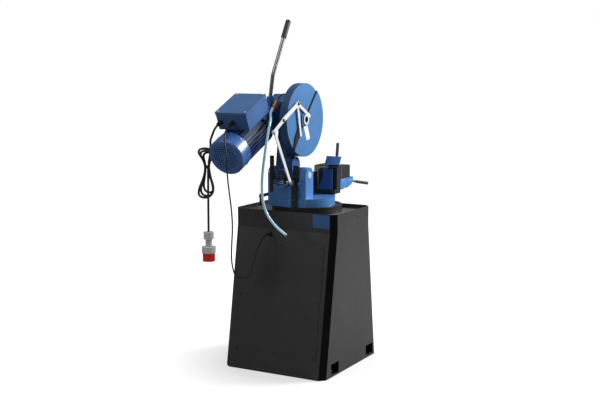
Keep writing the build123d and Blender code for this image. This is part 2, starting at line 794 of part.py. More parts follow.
gearbox -= rod(boss_start, boss_b + boss_run * 5, handle_r + press_gap)
gearbox = head * gearbox
lug_y = (pivot_y + 4, spring_y + spring_coil_r + 4)
gear_lug = block(
    (spring_x - spring_lug_half, spring_x + spring_lug_half),
    lug_y,
    (spring_lug_z, spring_lug_z + spring_lug_t),
)
gearbox += gear_lug - disc_x((-200, 200), pivot_y, pivot_z, pivot_tube_r - 4)

bush_set = []
for x in ((tube_x[0], tube_x[0] + bush_len), (tube_x[1] - bush_len, tube_x[1])):
    bush_set.append(
        disc_x(x, pivot_y, pivot_z, pin_r + bush_t) - disc_x(
            (x[0] - 1, x[1] + 1),
            pivot_y,
            pivot_z,
            pin_r + run_gap,
        )
    )
cover_form = disc_x((housing_x1, housing_x1 + cover_t), *c_local, housing_r)
gearbox_cover = head * (
    cover_form + disc_x((housing_x1 + cover_t - 1, housing_x1 + cover_t + 6), *c_local, 30)
)
bearing_set = []
for x in ((guard_x[1] + 6, guard_x[1] + 22), (housing_x1 - 76, housing_x1 - 60)):
    ring = disc_x(x, *c_local, bearing_r - run_gap) - disc_x(
        (x[0] - 1, x[1] + 1),
        *c_local,
        arbor_r + run_gap,
    )
    bearing_set.append(head * ring)
for y in ((tunnel_y0 + 2, tunnel_y0 + 15), (flange_y[0] - 30, flange_y[0] - 16)):
    bearing_set.append(head * ring_motor(y, tunnel_r - run_gap, shaft_r + run_gap))
bearings = Compound(bearing_set + bush_set)

# The motor
motor_housing = ring_motor((motor_y0, motor_y1), motor_tube_r, stator_r + press_gap)
motor_housing += ring_motor((motor_y0, motor_y0 + 12), fin_r, shaft_r + 2)
fin_box = Pos(0, 0, (motor_tube_r + fin_r) / 2 - 1) * Box(
    fin_t,
    motor_y1 - motor_y0,
    fin_r - motor_tube_r + 2,
)
fin_mid = (motor_y0 + motor_y1) / 2
fins = [
    Pos(motor_x, fin_mid, worm_local_z) * Rot(0, i * 360 / fin_count, 0) * fin_box
    for i in range(fin_count)
]
motor_housing = motor_housing + fins
motor_housing += block(
    (motor_x - 36, motor_x + 36), (motor_y0 + 40, motor_y0 + 130), (worm_local_z + stator_r + 3, box_z0)
)
motor_housing -= block((-400, 400), (0, 400), (box_z0, 900))
shield_y = (motor_y1, motor_y1 + shield_t)
cowl_in = cowl_r - cowl_sheet
motor_housing += ring_motor((shield_y[0] - 1, shield_y[1]), cowl_in - press_gap, shaft_r + run_gap)
motor_housing = head * motor_housing
stator_y = (motor_y0 + 55, motor_y0 + 180)
motor_stator = head * ring_motor(stator_y, stator_r, rotor_r + air_gap)
rotor_core = head * ring_motor((stator_y[0] + 5, stator_y[1] - 5), rotor_r, shaft_r + press_gap)
fan_y = (shield_y[1] + 14, shaft_end)
fan_form = ring_motor(fan_y, 20, shaft_r + press_gap)
for i in range(8):
    vane = Pos(motor_x, (fan_y[0] + fan_y[1]) / 2, worm_local_z) * Rot(0, i * 45, 0)
    fan_form += vane * (Pos(0, 0, 46) * Box(2.5, fan_y[1] - fan_y[0] - 4, 56))
cooling_fan = head * fan_form
cowl_out = along_motor((motor_y1, cowl_end_y), cowl_r)
cowl_out = fillet(cowl_out.edges().group_by(Axis.Y)[-1], cowl_round)
cowl_hollow = along_motor((motor_y1 - 1, cowl_end_y - cowl_sheet), cowl_in)
cowl_hollow = fillet(cowl_hollow.edges().group_by(Axis.Y)[-1], cowl_round - cowl_sheet)
fan_cowl = cowl_out - cowl_hollow
count = int(grille_r / grille_pitch) + 1
grille = []
for i in range(-count, count + 1):
    for j in range(-count, count + 1):
        reach = math.hypot(i, j) * grille_pitch
        if grille_pitch < reach < grille_r:
            at = (motor_x + i * grille_pitch, worm_local_z + j * grille_pitch)
            grille.append(
                rod((at[0], cowl_end_y - 5, at[1]), (at[0], cowl_end_y + 1, at[1]), grille_hole_r)
            )
fan_cowl = head * (fan_cowl - grille)

# The control box on the motor
box_z1 = box_z0 + box_height
control_box = block(box_x, box_y, (box_z0, box_z1))
control_box -= block(
    (box_x[0] + box_wall, box_x[1] - box_wall),
    (box_y[0] + box_wall, box_y[1] - box_wall),
    (box_z0 + box_wall, box_z1 + 1),
)
lid_x = (box_x[0] - lid_lip, box_x[1] + lid_lip)
lid_y = (box_y[0] - lid_lip, box_y[1] + lid_lip)
lid = block(lid_x, lid_y, (box_z1, box_z1 + lid_height))
lid = fillet([e for e in lid.edges().filter_by(Axis.Z)], 6)
lid -= block(
    (box_x[0] + box_wall, box_x[1] - box_wall),
    (box_y[0] + box_wall, box_y[1] - box_wall),
    (box_z1 - 1, box_z1 + lid_height - 3),
)
gland_set = []
for x in gland_x:
    p = (x, box_y[1], gland_z)
    q = (x, box_y[1] + gland_out, gland_z)
    nut = Plane(origin=p, x_dir=(1, 0, 0), z_dir=(0, 1, 0)) * RegularPolygon(gland_r + 2, 6)
    form = extrude(nut, amount=9) + rod(p, q, gland_r) + rod(
        (x, box_y[1] - box_wall - 4, gland_z),
        p,
        gland_r - 3,
    )
    gland_set.append(head * form)
    control_box -= rod(
        (x, box_y[1] - box_wall - 1, gland_z),
        (x, box_y[1] + 1, gland_z),
        gland_r - 3 + press_gap,
    )
cable_glands = Compound(gland_set)
control_box = head * control_box
control_box_lid = head * lid

# The pull handle with its grip and button
grip_run = Vector(0, handle_tip[0] - handle_bend[0], handle_tip[1] - handle_bend[1]).normalized()
tip_point = Vector(handle_x, *handle_tip)
grip_start = tip_point - grip_run * grip_length
tube_end = tip_point - grip_run * 8
handle_path = FilletPolyline(
    (handle_x, *handle_foot),
    (handle_x, *handle_bend),
    (tube_end.X, tube_end.Y, tube_end.Z),
    radius=handle_bend_r,
)
handle_tube = tube_on(handle_path, handle_r)
grip_form = rod(grip_start, tip_point, hand_grip_r)
grip_form = fillet(grip_form.edges().group_by(Axis.Z)[-1], 6)
hand_grip = grip_form - rod(grip_start - grip_run, tube_end, handle_r + press_gap)
press_run = Vector(0, -grip_run.Z, grip_run.Y)
if press_run.Y > 0:
    press_run = press_run * -1
trigger_root = grip_start + grip_run * trigger_at
pocket_floor = trigger_root + press_run * (handle_r + 0.7)
hand_grip -= rod(pocket_floor, trigger_root + press_run * (hand_grip_r + 5), trigger_r + run_gap)
trigger_button = rod(
    pocket_floor + press_run * (trigger_travel + 0.1),
    trigger_root + press_run * (hand_grip_r + trigger_out),
    trigger_r,
)

# The coolant valve, its lever and the short tube to the guard
valve_a = Vector(valve_x, *valve_top)
valve_b = Vector(valve_x, *valve_low)
valve_run = (valve_b - valve_a).normalized()
valve_len = (valve_b - valve_a).length
coolant_valve = rod(valve_a + valve_run * 12, valve_b - valve_run * 12, valve_r)
coolant_valve += rod(valve_a, valve_b, valve_r - 2.5)
hex_plane = Plane(origin=valve_a + valve_run * 6, x_dir=(1, 0, 0), z_dir=valve_run)
coolant_valve += extrude(hex_plane * RegularPolygon(valve_r, 6), amount=9)
stud_top = head * rod((valve_x, valve_mid[0], stud_z), (valve_x, *valve_mid), valve_stud_r)
coolant_valve += stud_top
valve_hub = valve_a + valve_run * (valve_len * 0.68)
stem_x = (valve_x - valve_r - 5, valve_x - 4)
coolant_valve += disc_x(stem_x, valve_hub.Y, valve_hub.Z, 3.5)
lever_x = (stem_x[0], stem_x[0] + 3.5)
lever_far = valve_hub + valve_run * 34
valve_handle = slab(flat_bar((valve_hub.Y, valve_hub.Z), (lever_far.Y, lever_far.Z), 11), lever_x)
valve_handle -= disc_x((lever_x[0] - 1, lever_x[1] + 1), valve_hub.Y, valve_hub.Z, 3.5 + run_gap)
nozzle_mid = valve_a - valve_run * 48
nozzle_points = [
    (valve_a.X, valve_a.Y, valve_a.Z),
    (nozzle_mid.X, nozzle_mid.Y, nozzle_mid.Z),
    (guard_x[1], nozzle_mid.Y, nozzle_mid.Z),
]
nozzle_tube = cord_tube("nozzle_tube", nozzle_points, nozzle_tube_r)

# The return spring between the turntable and the head
spring_low = pedestal_top
spring_high = spring_lug_z
coil_points = []
coil_tangents = []
steps = spring_turns * 4
coil_height = spring_high - spring_low - 2 * spring_wire_r
rise = coil_height / (spring_turns * 2 * math.pi)
for i in range(steps + 1):
    a = i * math.pi / 2
    coil_points.append(
        Vector(
            spring_x + spring_coil_r * math.cos(a),
            spring_y + spring_coil_r * math.sin(a),
            spring_low + spring_wire_r + rise * a,
        )
    )
    coil_tangents.append(
        Vector(-spring_coil_r * math.sin(a), spring_coil_r * math.cos(a), rise).normalized()
    )
return_spring = tube_on(wound(coil_points, coil_tangents), spring_wire_r)

# The vice: bed, fixed jaws and their brackets
vice_bed = block(bed_x, bed_y, (bed_z0, bed_z1))
vice_bed += block(tongue_x, (nut_y[0] - tongue_past_nut, bed_y[1]), (bed_z0, bed_z1))
jaw_y = (bed_y[0], bed_y[0] + jaw_depth)
jaw_z = (bed_z1, jaw_top_z)
jaw_high_z = jaw_top_z + jaw_step_h
jaw_right = block((bed_x[0], blade_x - jaw_kerf), jaw_y, jaw_z)
jaw_right += block((bed_x[0], jaw_step_x), jaw_y, (bed_z1, jaw_high_z))
for x, z in (((bed_x[0] - 1, jaw_step_x + 1), jaw_high_z), ((jaw_step_x, blade_x), jaw_top_z)):
    edge = Box(x[1] - x[0], math.sqrt(2) * jaw_notch, math.sqrt(2) * jaw_notch)
    jaw_right -= Pos((x[0] + x[1]) / 2, jaw_y[1], z) * Rot(45, 0, 0) * edge
jaw_left = block((blade_x + jaw_kerf, bed_x[1]), jaw_y, (bed_z1, jaw_top_z - jaw_left_drop))
notch = Polygon(
    (blade_x, swivel_y - jaw_kerf),
    (blade_x + jaw_kerf + 300, swivel_y - jaw_kerf + jaw_kerf + 300),
    (blade_x, swivel_y + 300),
    align=None,
)
notch = Pos(jaw_kerf, 0) * notch
jaw_left -= extrude(Pos(0, 0, bed_z1 - 1) * notch, amount=300)
fixed_jaws = Compound([jaw_right, jaw_left])
bracket_y = (jaw_y[1], jaw_y[1] + bracket_depth)
bracket_z = (bed_z1, jaw_top_z - bracket_drop)
web_x0 = bed_x[0] + web_inset
web_mid_z = (bracket_z[0] + bracket_z[1]) / 2
web_form = make_face([
    Line((web_x0, bracket_z[0]), (web_x0, bracket_z[1])),
    Line((web_x0, bracket_z[1]), (web_x0 + bracket_w[0], bracket_z[1])),
    ThreePointArc(
        (web_x0 + bracket_w[0], bracket_z[1]),
        (web_x0 + bracket_w[0] + 4, web_mid_z),
        (web_x0 + web_foot, bracket_z[0]),
    ),
    Line((web_x0 + web_foot, bracket_z[0]), (web_x0, bracket_z[0])),
])
web_plane = Plane(origin=(0, bracket_y[1], 0), x_dir=(1, 0, 0), z_dir=(0, -1, 0))
right_block = extrude(web_plane * web_form, amount=bracket_depth)
right_block = fillet(right_block.edges().filter_by(Axis.Z).group_by(Axis.X)[0], 8)
right_block -= Pos(0, jaw_y[1], jaw_top_z) * Rot(45, 0, 0) * Box(
    400,
    1.42 * (jaw_notch - 2),
    1.42 * (jaw_notch - 2),
)
left_z = (bed_z1, jaw_top_z - jaw_left_drop - bracket_drop)
left_block = block((bed_x[1] - bracket_w[1], bed_x[1]), bracket_y, left_z)
jaw_brackets = Compound([right_block, left_block])
shield_run = math.degrees(math.atan2(shield_top[1] - shield_foot[1], shield_top[0] - shield_foot[0]))
shield_len = math.hypot(shield_top[0] - shield_foot[0], shield_top[1] - shield_foot[1])
shield_mid = ((shield_foot[0] + shield_top[0]) / 2, (shield_foot[1] + shield_top[1]) / 2)
leaf = Pos(*shield_mid) * Rectangle(shield_len, shield_sheet, rotation=shield_run)
toe = Pos(shield_foot[0] - 12, jaw_high_z + shield_sheet / 2) * Rectangle(30, shield_sheet)
jaw_shield = slab(leaf + toe, shield_x)
jaw_shield -= block((-400, 400), (-400, 0), (0, jaw_high_z))

# The vice's front carrier with its jaws
carrier_z0 = bed_z1 + carrier_gap
carrier = block(carrier_x, carrier_y, (bed_z1 - carrier_skirt, carrier_top_z))
carrier -= block(
    (tongue_x[0] - carrier_gap, tongue_x[1] + carrier_gap),
    (carrier_y[0] - 1, carrier_y[1] + 1),
    (0, carrier_z0),
)
carrier -= block(carrier_kerf_x, (carrier_y[0] - 1, carrier_y[1] + 1), (carrier_kerf_z, 2000))
taper = Polygon(
    (carrier_y[0] - 1, carrier_top_z - 22),
    (carrier_y[0] + 20, carrier_z0),
    (carrier_y[0] + 60, bed_z1 - carrier_skirt - 1),
    (carrier_y[0] - 1, bed_z1 - carrier_skirt - 1), align=None,
)
carrier -= slab(taper, (-400, 400))
cavity_x = (spindle_x - nut_half_w - 4, spindle_x + nut_half_w + 4)
cavity_y = (carrier_y[0] + nut_cavity_wall, carrier_y[1] - nut_cavity_wall)
cavity_top = spindle_z + nut_half_w
carrier -= block(cavity_x, cavity_y, (0, cavity_top))
carrier -= rod(
    (spindle_x, carrier_y[0] - 1, spindle_z),
    (spindle_x, cavity_y[0] + 1, spindle_z),
    spindle_r + run_gap,
)
vice_carrier = carrier
front_set = []
face_set = []
front_x = ((carrier_x[0], carrier_kerf_x[0]), (carrier_kerf_x[1], carrier_x[1]))
for x in front_x:
    front_set.append(block(x, front_jaw_y, (carrier_top_z, jaw_top_z)))
    face_set.append(block(x, (front_jaw_y[1], front_jaw_y[1] + jaw_face_t), (carrier_top_z, jaw_top_z - 3)))
moving_jaws = Compound(front_set)
jaw_faces = Compound(face_set)
nut_x = (spindle_x - nut_half_w, spindle_x + nut_half_w)
spindle_nut = block(nut_x, nut_y, (bed_z1, spindle_z + nut_half_w - 3))
spindle_nut -= rod(
    (spindle_x, nut_y[0] - 1, spindle_z),
    (spindle_x, nut_y[1] + 1, spindle_z),
    spindle_r + run_gap,
)
vice_bed += spindle_nut

# The vice spindle and its capstan wheel
wheel_y1 = carrier_y[0] - 1
wheel_y0 = wheel_y1 - vice_wheel_hub_w
wheel_mid = (wheel_y0 + wheel_y1) / 2
vice_spindle = rod(
    (spindle_x, wheel_y0 - 3, spindle_z),
    (spindle_x, cavity_y[1] - 1.5, spindle_z),
    spindle_r,
)
vice_wheel = rod((spindle_x, wheel_y0, spindle_z), (spindle_x, wheel_y1, spindle_z), vice_wheel_hub_r)
grip_set = []
for i in range(4):
    a = math.radians(90 * i + spoke_turn)
    run = Vector(-math.sin(a), 0, math.cos(a))
    centre = Vector(spindle_x, wheel_mid, spindle_z)
    vice_wheel += rod(centre + run * (spindle_r + 3), centre + run * (grip_reach - 12), spoke_r)
    grip_form = rod(centre + run * spoke_reach, centre + run * grip_reach, grip_r)
    grip_set.append(
        grip_form - rod(
            centre + run * (spoke_reach - 1),
            centre + run * (grip_reach - 12),
            spoke_r + press_gap,
        )
    )
vice_wheel -= rod(
    (spindle_x, wheel_y0 - 1, spindle_z),
    (spindle_x, wheel_y1 + 1, spindle_z),
    spindle_r + press_gap,
)
wheel_grips = Compound(grip_set)

# The cords: routes picked by hand in the stand's frame
def raised(*points):
    """Route points with heights counted from the stand's top."""
    return [(x, y, z + stand_height) for x, y, z in points]


hose_run = valve_b + valve_run * 29
hose_points = [
    (valve_b.X, valve_b.Y, valve_b.Z),
    (hose_run.X, hose_run.Y, hose_run.Z),
    *raised(
        (28, 246, 444),
        (5, 292, 420),
        (-1, 327, 366),
        (8, 335, 280),
        (26, 325, 202),
        (38, 314, 128),
        (37, 307, 54),
        (18, 302, -1),
        (-18, 307, -39),
        (-59, 316, -66),
        (-95, 321, -85),
    ),
]
gland_tip = to_world(box_y[1] + gland_out, gland_z)
gland_far = to_world(box_y[1] + gland_out + 30, gland_z)
wall_out = Vector(0, math.cos(slope), math.sin(slope))
grommet_face = rear_wall.from_local_coords(Vector(grommet_x, grommet_v, grommet_out))
grommet_run = grommet_face + wall_out * 32
pump_upper_points = [
    (gland_x[1], *gland_tip),
    (gland_x[1], *gland_far),
    *raised(
        (104, 519, 386),
        (88, 545, 340),
        (75, 550, 276),
        (79, 541, 198),
        (87, 513, 120),
        (97, 479, 32),
        (110, 452, -52),
        (129, 432, -132),
        (143, 414, -204),
        (143, 401, -252),
        (138, 393, -281),
        (130, 383, -294),
        (118, 369, -296.5),
    ),
]
pump_lower_points = [
    *raised(
        (118, 369, -296.5),
        (106, 355, -299),
        (95, 341, -289),
        (88, 328, -260),
        (82, 306, -204),
        (76, 278, -146),
    ),
    (grommet_run.X, grommet_run.Y, grommet_run.Z),
    (grommet_face.X, grommet_face.Y, grommet_face.Z),
]
coolant_hose = cord_tube("coolant_hose", hose_points, hose_r)
pump_cable_upper = cord_tube("pump_cable_upper", pump_upper_points, pump_cable_r)
pump_cable_lower = cord_tube("pump_cable_lower", pump_lower_points, pump_cable_r)

# The mains lead's hank: pinched loops stacked towards the photo's viewer
view = math.radians(hank_view)
hank_u = Vector(math.cos(view), math.sin(view), 0)
hank_v = Vector(-math.sin(view), math.cos(view), 0)
hank_centre = Vector(*hank_at)


def hank_point(t):
    """A point of the hank, its angle counted in turns from the waist."""
    s = math.sin(t)
    turn = min(int((t - math.pi) / (2 * math.pi) + 1e-6), hank_turns - 1)
    high = s > 0
    tall = hank_up * hank_up_tall[turn] if high else hank_down * hank_down_tall[turn]
    wide = hank_up_w * hank_up_wide[turn] if high else hank_down_w * hank_down_wide[turn]
    lean = (hank_up_lean[turn] if high else hank_down_lean[turn]) * s * s
    x = math.cos(t) * (hank_waist + 2.6 * wide * s * s) + lean
    depth = hank_pitch * ((t - math.pi) / (2 * math.pi) - hank_turns / 2)
    return hank_centre + hank_u * x + hank_v * depth + Vector(0, 0, tall * s)


hank_steps = 16
hank_points = []
hank_tangents = []
for i in range(hank_turns * hank_steps + 1):
    t = math.pi + i * 2 * math.pi / hank_steps
    hank_points.append(hank_point(t))
    step = 1e-4
    hank_tangents.append((hank_point(t + step) - hank_point(t - step)).normalized())
hank_tangents[0] = Vector(0, 0, -1)
hank_tangents[-1] = Vector(0, 0, -1)
hank_path = wound(hank_points, hank_tangents)
mains_hank = tube_on(hank_path, mains_r)
hank_share = mains_hank.volume / (math.pi * mains_r ** 2 * hank_path.length)
print("mains_hank length", round(hank_path.length), "volume share", round(hank_share, 4))
samples = [hank_path @ (i / 900) for i in range(901)]
spacing = hank_path.length / 900
near = 1e9
for i in range(0, 901, 3):
    for j in range(i + 1, 901, 3):
        if (j - i) * spacing > 40:
            near = min(near, (samples[i] - samples[j]).length)
print("hank gap between strands", round(near - 2 * mains_r, 2))
hank_in = hank_points[0]
hank_out = hank_points[-1]
mains_lead_points = [
    (gland_x[0], *gland_tip),
    (gland_x[0], *gland_far),
    *raised(
        (193, 490, 366),
        (222, 459, 344),
        (250, 414, 318),
        (257, 411, 268),
    ),
    (hank_in.X, hank_in.Y, hank_in.Z + 24),
    (hank_in.X, hank_in.Y, hank_in.Z),
]
tail_foot = (228, 472, stand_height - 73)
mains_tail_points = [
    (hank_out.X, hank_out.Y, hank_out.Z),
    (hank_out.X, hank_out.Y, hank_out.Z - 34),
    *raised(
        (229, 470, 136),
        (227, 473, 46),
        (228, 472, -28),
    ),
    tail_foot,
]
mains_lead = cord_tube("mains_lead", mains_lead_points, mains_r)
mains_tail = cord_tube("mains_tail", mains_tail_points, mains_r)
for name, points in (("mains_lead", mains_lead_points[::-1]), ("mains_tail", mains_tail_points)):
    run = cord_path(name, points)
    clear = 1e9
    for i in range(201):
        p = run @ (i / 200)
        for q in samples:
            joined = (q - points[0]).length + run.length * i / 200
            if joined > 45:
                clear = min(clear, (p - q).length)
    print(name, "gap to the hank", round(clear - 2 * mains_r, 2))
tie_form = Plane(origin=hank_centre - Vector(0, 0, 5), x_dir=hank_u, z_dir=(0, 0, 1))
tie_wide = 2 * (hank_waist + mains_r + tie_slack)
tie_deep = hank_pitch * hank_turns + 2 * (mains_r + tie_slack)
tie_out = Rectangle(tie_wide + 3, tie_deep + 3)
tie_out = fillet(tie_out.vertices(), mains_r + 1.5)
tie_in = Rectangle(tie_wide, tie_deep)
tie_in = fillet(tie_in.vertices(), mains_r)
cable_tie = extrude(tie_form * (tie_out - tie_in), amount=10)

# The plug at the end of the mains lead
foot = Vector(*tail_foot)


def plug_rod(z0, z1, r):
    """A round bar down the plug's axis, from one depth to another."""
    return rod(foot - Vector(0, 0, z0), foot - Vector(0, 0, z1), r)


plug_a = plug_nut_h
plug_b = plug_a + plug_neck_h
plug_c = plug_b + plug_flange_h
plug_d = plug_c + plug_shroud_h
mains_plug = plug_rod(0, plug_a, plug_nut_r) + plug_rod(plug_a - 1, plug_b + 1, plug_neck_r)
mains_plug += plug_rod(plug_b, plug_c, plug_flange_r)
plug_shroud = plug_rod(plug_c, plug_d, plug_shroud_r) - plug_rod(
    plug_c - 1,
    plug_d + 1,
    plug_shroud_r - plug_shroud_t,
)
pin_set = []
for i in range(5):
    a = math.radians(72 * i)
    off = Vector(13 * math.cos(a), 13 * math.sin(a), 0)
    pin_set.append(
        rod(foot + off - Vector(0, 0, plug_c - 1), foot + off - Vector(0, 0, plug_d - 6), plug_pin_r)
    )
for pin in pin_set:
    mains_plug += pin

# One file for each piece
export_step(cabinet, "parts/cabinet.step")
export_step(chip_tray, "parts/chip_tray.step")
export_step(rear_panel, "parts/rear_panel.step")
export_step(pump_cable_grommet, "parts/pump_cable_grommet.step")
export_step(coolant_tank, "parts/coolant_tank.step")
export_step(coolant_pump, "parts/coolant_pump.step")
export_step(base_plate, "parts/base_plate.step")
export_step(turntable, "parts/turntable.step")
export_step(pivot_pin, "parts/pivot_pin.step")
export_step(lock_lever, "parts/lock_lever.step")
export_step(link_bracket, "parts/link_bracket.step")
export_step(anchor_pin, "parts/anchor_pin.step")
export_step(lower_link, "parts/lower_link.step")
export_step(upper_link, "parts/upper_link.step")
export_step(fixed_guard, "parts/fixed_guard.step")
export_step(guard_hub_ring, "parts/guard_hub_ring.step")
export_step(moving_guard, "parts/moving_guard.step")
export_step(guard_bracket, "parts/guard_bracket.step")
export_step(blade, "parts/blade.step")
export_step(arbor, "parts/arbor.step")
export_step(blade_clamp, "parts/blade_clamp.step")
export_step(worm_wheel, "parts/worm_wheel.step")
export_step(worm_shaft, "parts/worm_shaft.step")
export_step(gearbox, "parts/gearbox.step")
export_step(gearbox_cover, "parts/gearbox_cover.step")
export_step(bearings, "parts/bearings.step")
export_step(motor_housing, "parts/motor_housing.step")
export_step(motor_stator, "parts/motor_stator.step")
export_step(rotor_core, "parts/rotor_core.step")
export_step(cooling_fan, "parts/cooling_fan.step")
export_step(fan_cowl, "parts/fan_cowl.step")
export_step(control_box, "parts/control_box.step")
export_step(control_box_lid, "parts/control_box_lid.step")
export_step(cable_glands, "parts/cable_glands.step")
export_step(handle_tube, "parts/handle_tube.step")
export_step(hand_grip, "parts/hand_grip.step")
export_step(trigger_button, "parts/trigger_button.step")
export_step(coolant_valve, "parts/coolant_valve.step")
export_step(valve_handle, "parts/valve_handle.step")
export_step(nozzle_tube, "parts/nozzle_tube.step")
export_step(return_spring, "parts/return_spring.step")
export_step(vice_bed, "parts/vice_bed.step")
export_step(fixed_jaws, "parts/fixed_jaws.step")
export_step(jaw_brackets, "parts/jaw_brackets.step")
export_step(jaw_shield, "parts/jaw_shield.step")
export_step(vice_carrier, "parts/vice_carrier.step")
export_step(moving_jaws, "parts/moving_jaws.step")
export_step(jaw_faces, "parts/jaw_faces.step")
export_step(vice_spindle, "parts/vice_spindle.step")
export_step(vice_wheel, "parts/vice_wheel.step")
export_step(wheel_grips, "parts/wheel_grips.step")
export_step(coolant_hose, "parts/coolant_hose.step")
export_step(pump_cable_upper, "parts/pump_cable_upper.step")
export_step(pump_cable_lower, "parts/pump_cable_lower.step")
export_step(mains_lead, "parts/mains_lead.step")
export_step(mains_hank, "parts/mains_hank.step")
export_step(mains_tail, "parts/mains_tail.step")
export_step(cable_tie, "parts/cable_tie.step")
export_step(mains_plug, "parts/mains_plug.step")
export_step(plug_shroud, "parts/plug_shroud.step")
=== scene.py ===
"""Looks of a floor-standing cold saw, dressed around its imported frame."""

import logging
import math
from dataclasses import dataclass
from enum import Enum
from typing import Any, Dict, List, Optional, Sequence, Tuple, Union

import bpy
import numpy as np
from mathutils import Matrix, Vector


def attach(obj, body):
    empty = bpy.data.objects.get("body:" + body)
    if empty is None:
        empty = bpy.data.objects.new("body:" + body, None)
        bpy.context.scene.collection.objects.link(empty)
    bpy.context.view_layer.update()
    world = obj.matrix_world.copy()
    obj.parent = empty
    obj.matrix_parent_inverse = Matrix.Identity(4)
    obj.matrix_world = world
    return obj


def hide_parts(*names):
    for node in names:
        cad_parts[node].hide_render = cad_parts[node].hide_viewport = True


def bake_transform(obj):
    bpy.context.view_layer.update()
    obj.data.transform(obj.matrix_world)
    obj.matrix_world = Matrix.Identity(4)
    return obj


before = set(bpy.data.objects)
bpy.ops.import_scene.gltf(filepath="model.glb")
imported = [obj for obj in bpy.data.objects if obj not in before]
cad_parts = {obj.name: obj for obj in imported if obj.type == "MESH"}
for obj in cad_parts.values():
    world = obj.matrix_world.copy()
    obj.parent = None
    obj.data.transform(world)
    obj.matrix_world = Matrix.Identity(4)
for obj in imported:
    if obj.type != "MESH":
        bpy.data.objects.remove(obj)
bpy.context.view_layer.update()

log = logging.getLogger("cold_saw")
MM = 0.001
OUTLINE_POINTS = 32
SAME_POINT = 1e-6
Colour = Tuple[float, float, float]
Point = Tuple[float, float, float]
Sockets = Dict[Union[str, int], Any]


class Body(Enum):
    """The moving bodies that new pieces ride on."""

    STAND = "stand"
    TURNTABLE = "turntable"
    HEAD = "head"
    MOVING_GUARD = "moving_guard"
    UPPER_LINK = "upper_link"
    MAINS_CORD = "mains_cord"
    BLADE = "blade_spindle"


class Relief(Enum):
    """How a finish's fine relief runs: the scale of its noise along x, y and z."""

    EVEN = (1.0, 1.0, 1.0)
    ALONG_X = (0.02, 1.0, 1.0)


# Shader groups that several finishes share
def new_group(name: str, inputs: Sequence[Tuple[str, str]],
              outputs: Sequence[Tuple[str, str]]) -> bpy.types.NodeTree:
    """Make an empty shader group with named sockets.

    Args:
        name: The group's name.
        inputs: Name and socket type of each input.
        outputs: Name and socket type of each output.

    Returns:
        The new node group.
    """
    tree = bpy.data.node_groups.new(name, "ShaderNodeTree")
    for label, kind in inputs:
        tree.interface.new_socket(name=label, in_out="INPUT", socket_type=kind)
    for label, kind in outputs:
        tree.interface.new_socket(name=label, in_out="OUTPUT", socket_type=kind)
    tree.nodes.new("NodeGroupInput")
    tree.nodes.new("NodeGroupOutput")
    return tree


def group_ends(tree: bpy.types.NodeTree) -> Tuple[bpy.types.NodeOutputs, bpy.types.NodeInputs]:
    """Return what a group is given and what it gives back."""
    return tree.nodes["Group Input"].outputs, tree.nodes["Group Output"].inputs


def add_node(tree: bpy.types.NodeTree, kind: str, values: Optional[Sockets] = None,
             links: Optional[Sockets] = None, **settings: Any) -> bpy.types.Node:
    """Add a shader node, set its inputs and link outputs into them.

    Args:
        tree: The tree it goes into.
        kind: The node's type, without the common start of its name.
        values: Values by the input's name or place.
        links: Outputs by the name or place of the input they go into.
        settings: Settings of the node, such as its operation.

    Returns:
        The new node.
    """
    made = tree.nodes.new("ShaderNode" + kind)
    for name, setting in settings.items():
        setattr(made, name, setting)
    for key, value in (values or {}).items():
        made.inputs[key].default_value = value
    for key, output in (links or {}).items():
        tree.links.new(output, made.inputs[key])
    return made


def mottle_group() -> bpy.types.NodeTree:
    """Colour that drifts between a paint and its shade, with roughness that drifts on a finer noise.

    Returns:
        The node group, with Color and Roughness outputs.
    """
    tree = new_group(
        "paint_mottle",
        [("Vector", "NodeSocketVector"), ("Paint", "NodeSocketColor"), ("Shade", "NodeSocketColor"),
         ("Scale", "NodeSocketFloat"), ("Roughness", "NodeSocketFloat"), ("Spread", "NodeSocketFloat")],
        [("Color", "NodeSocketColor"), ("Roughness", "NodeSocketFloat")],
    )
    given, sink = group_ends(tree)
    broad = add_node(
        tree, "TexNoise", {"Detail": 3.0}, {"Vector": given["Vector"], "Scale": given["Scale"]},
    )
    spread = add_node(tree, "MapRange", {"From Min": 0.3, "From Max": 0.7}, {"Value": broad.outputs["Fac"]})
    mix = add_node(
        tree, "Mix", {}, {"Factor": spread.outputs["Result"], 6: given["Paint"], 7: given["Shade"]},
        data_type="RGBA",
    )
    tree.links.new(mix.outputs[2], sink["Color"])
    finer = add_node(tree, "Math", {1: 4.7}, {0: given["Scale"]}, operation="MULTIPLY")
    fine = add_node(
        tree, "TexNoise", {"Detail": 4.0}, {"Vector": given["Vector"], "Scale": finer.outputs["Value"]},
    )
    centred = add_node(tree, "Math", {1: 0.5}, {0: fine.outputs["Fac"]}, operation="SUBTRACT")
    drift = add_node(
        tree, "Math", {}, {0: centred.outputs["Value"], 1: given["Spread"], 2: given["Roughness"]},
        operation="MULTIPLY_ADD",
    )
    tree.links.new(drift.outputs["Value"], sink["Roughness"])
    return tree


def relief_group() -> bpy.types.NodeTree:
    """Fine height for bumps: a noise on stretched coordinates, from orange peel to brush marks.

    Returns:
        The node group, with a Height output.
    """
    tree = new_group(
        "fine_relief",
        [("Vector", "NodeSocketVector"), ("Stretch", "NodeSocketVector"), ("Scale", "NodeSocketFloat")],
        [("Height", "NodeSocketFloat")],
    )
    given, sink = group_ends(tree)
    stretch = add_node(
        tree, "VectorMath", {}, {0: given["Vector"], 1: given["Stretch"]}, operation="MULTIPLY",
    )
    noise = add_node(
        tree, "TexNoise", {"Detail": 2.0}, {"Vector": stretch.outputs["Vector"], "Scale": given["Scale"]},
    )
    tree.links.new(noise.outputs["Fac"], sink["Height"])
    return tree


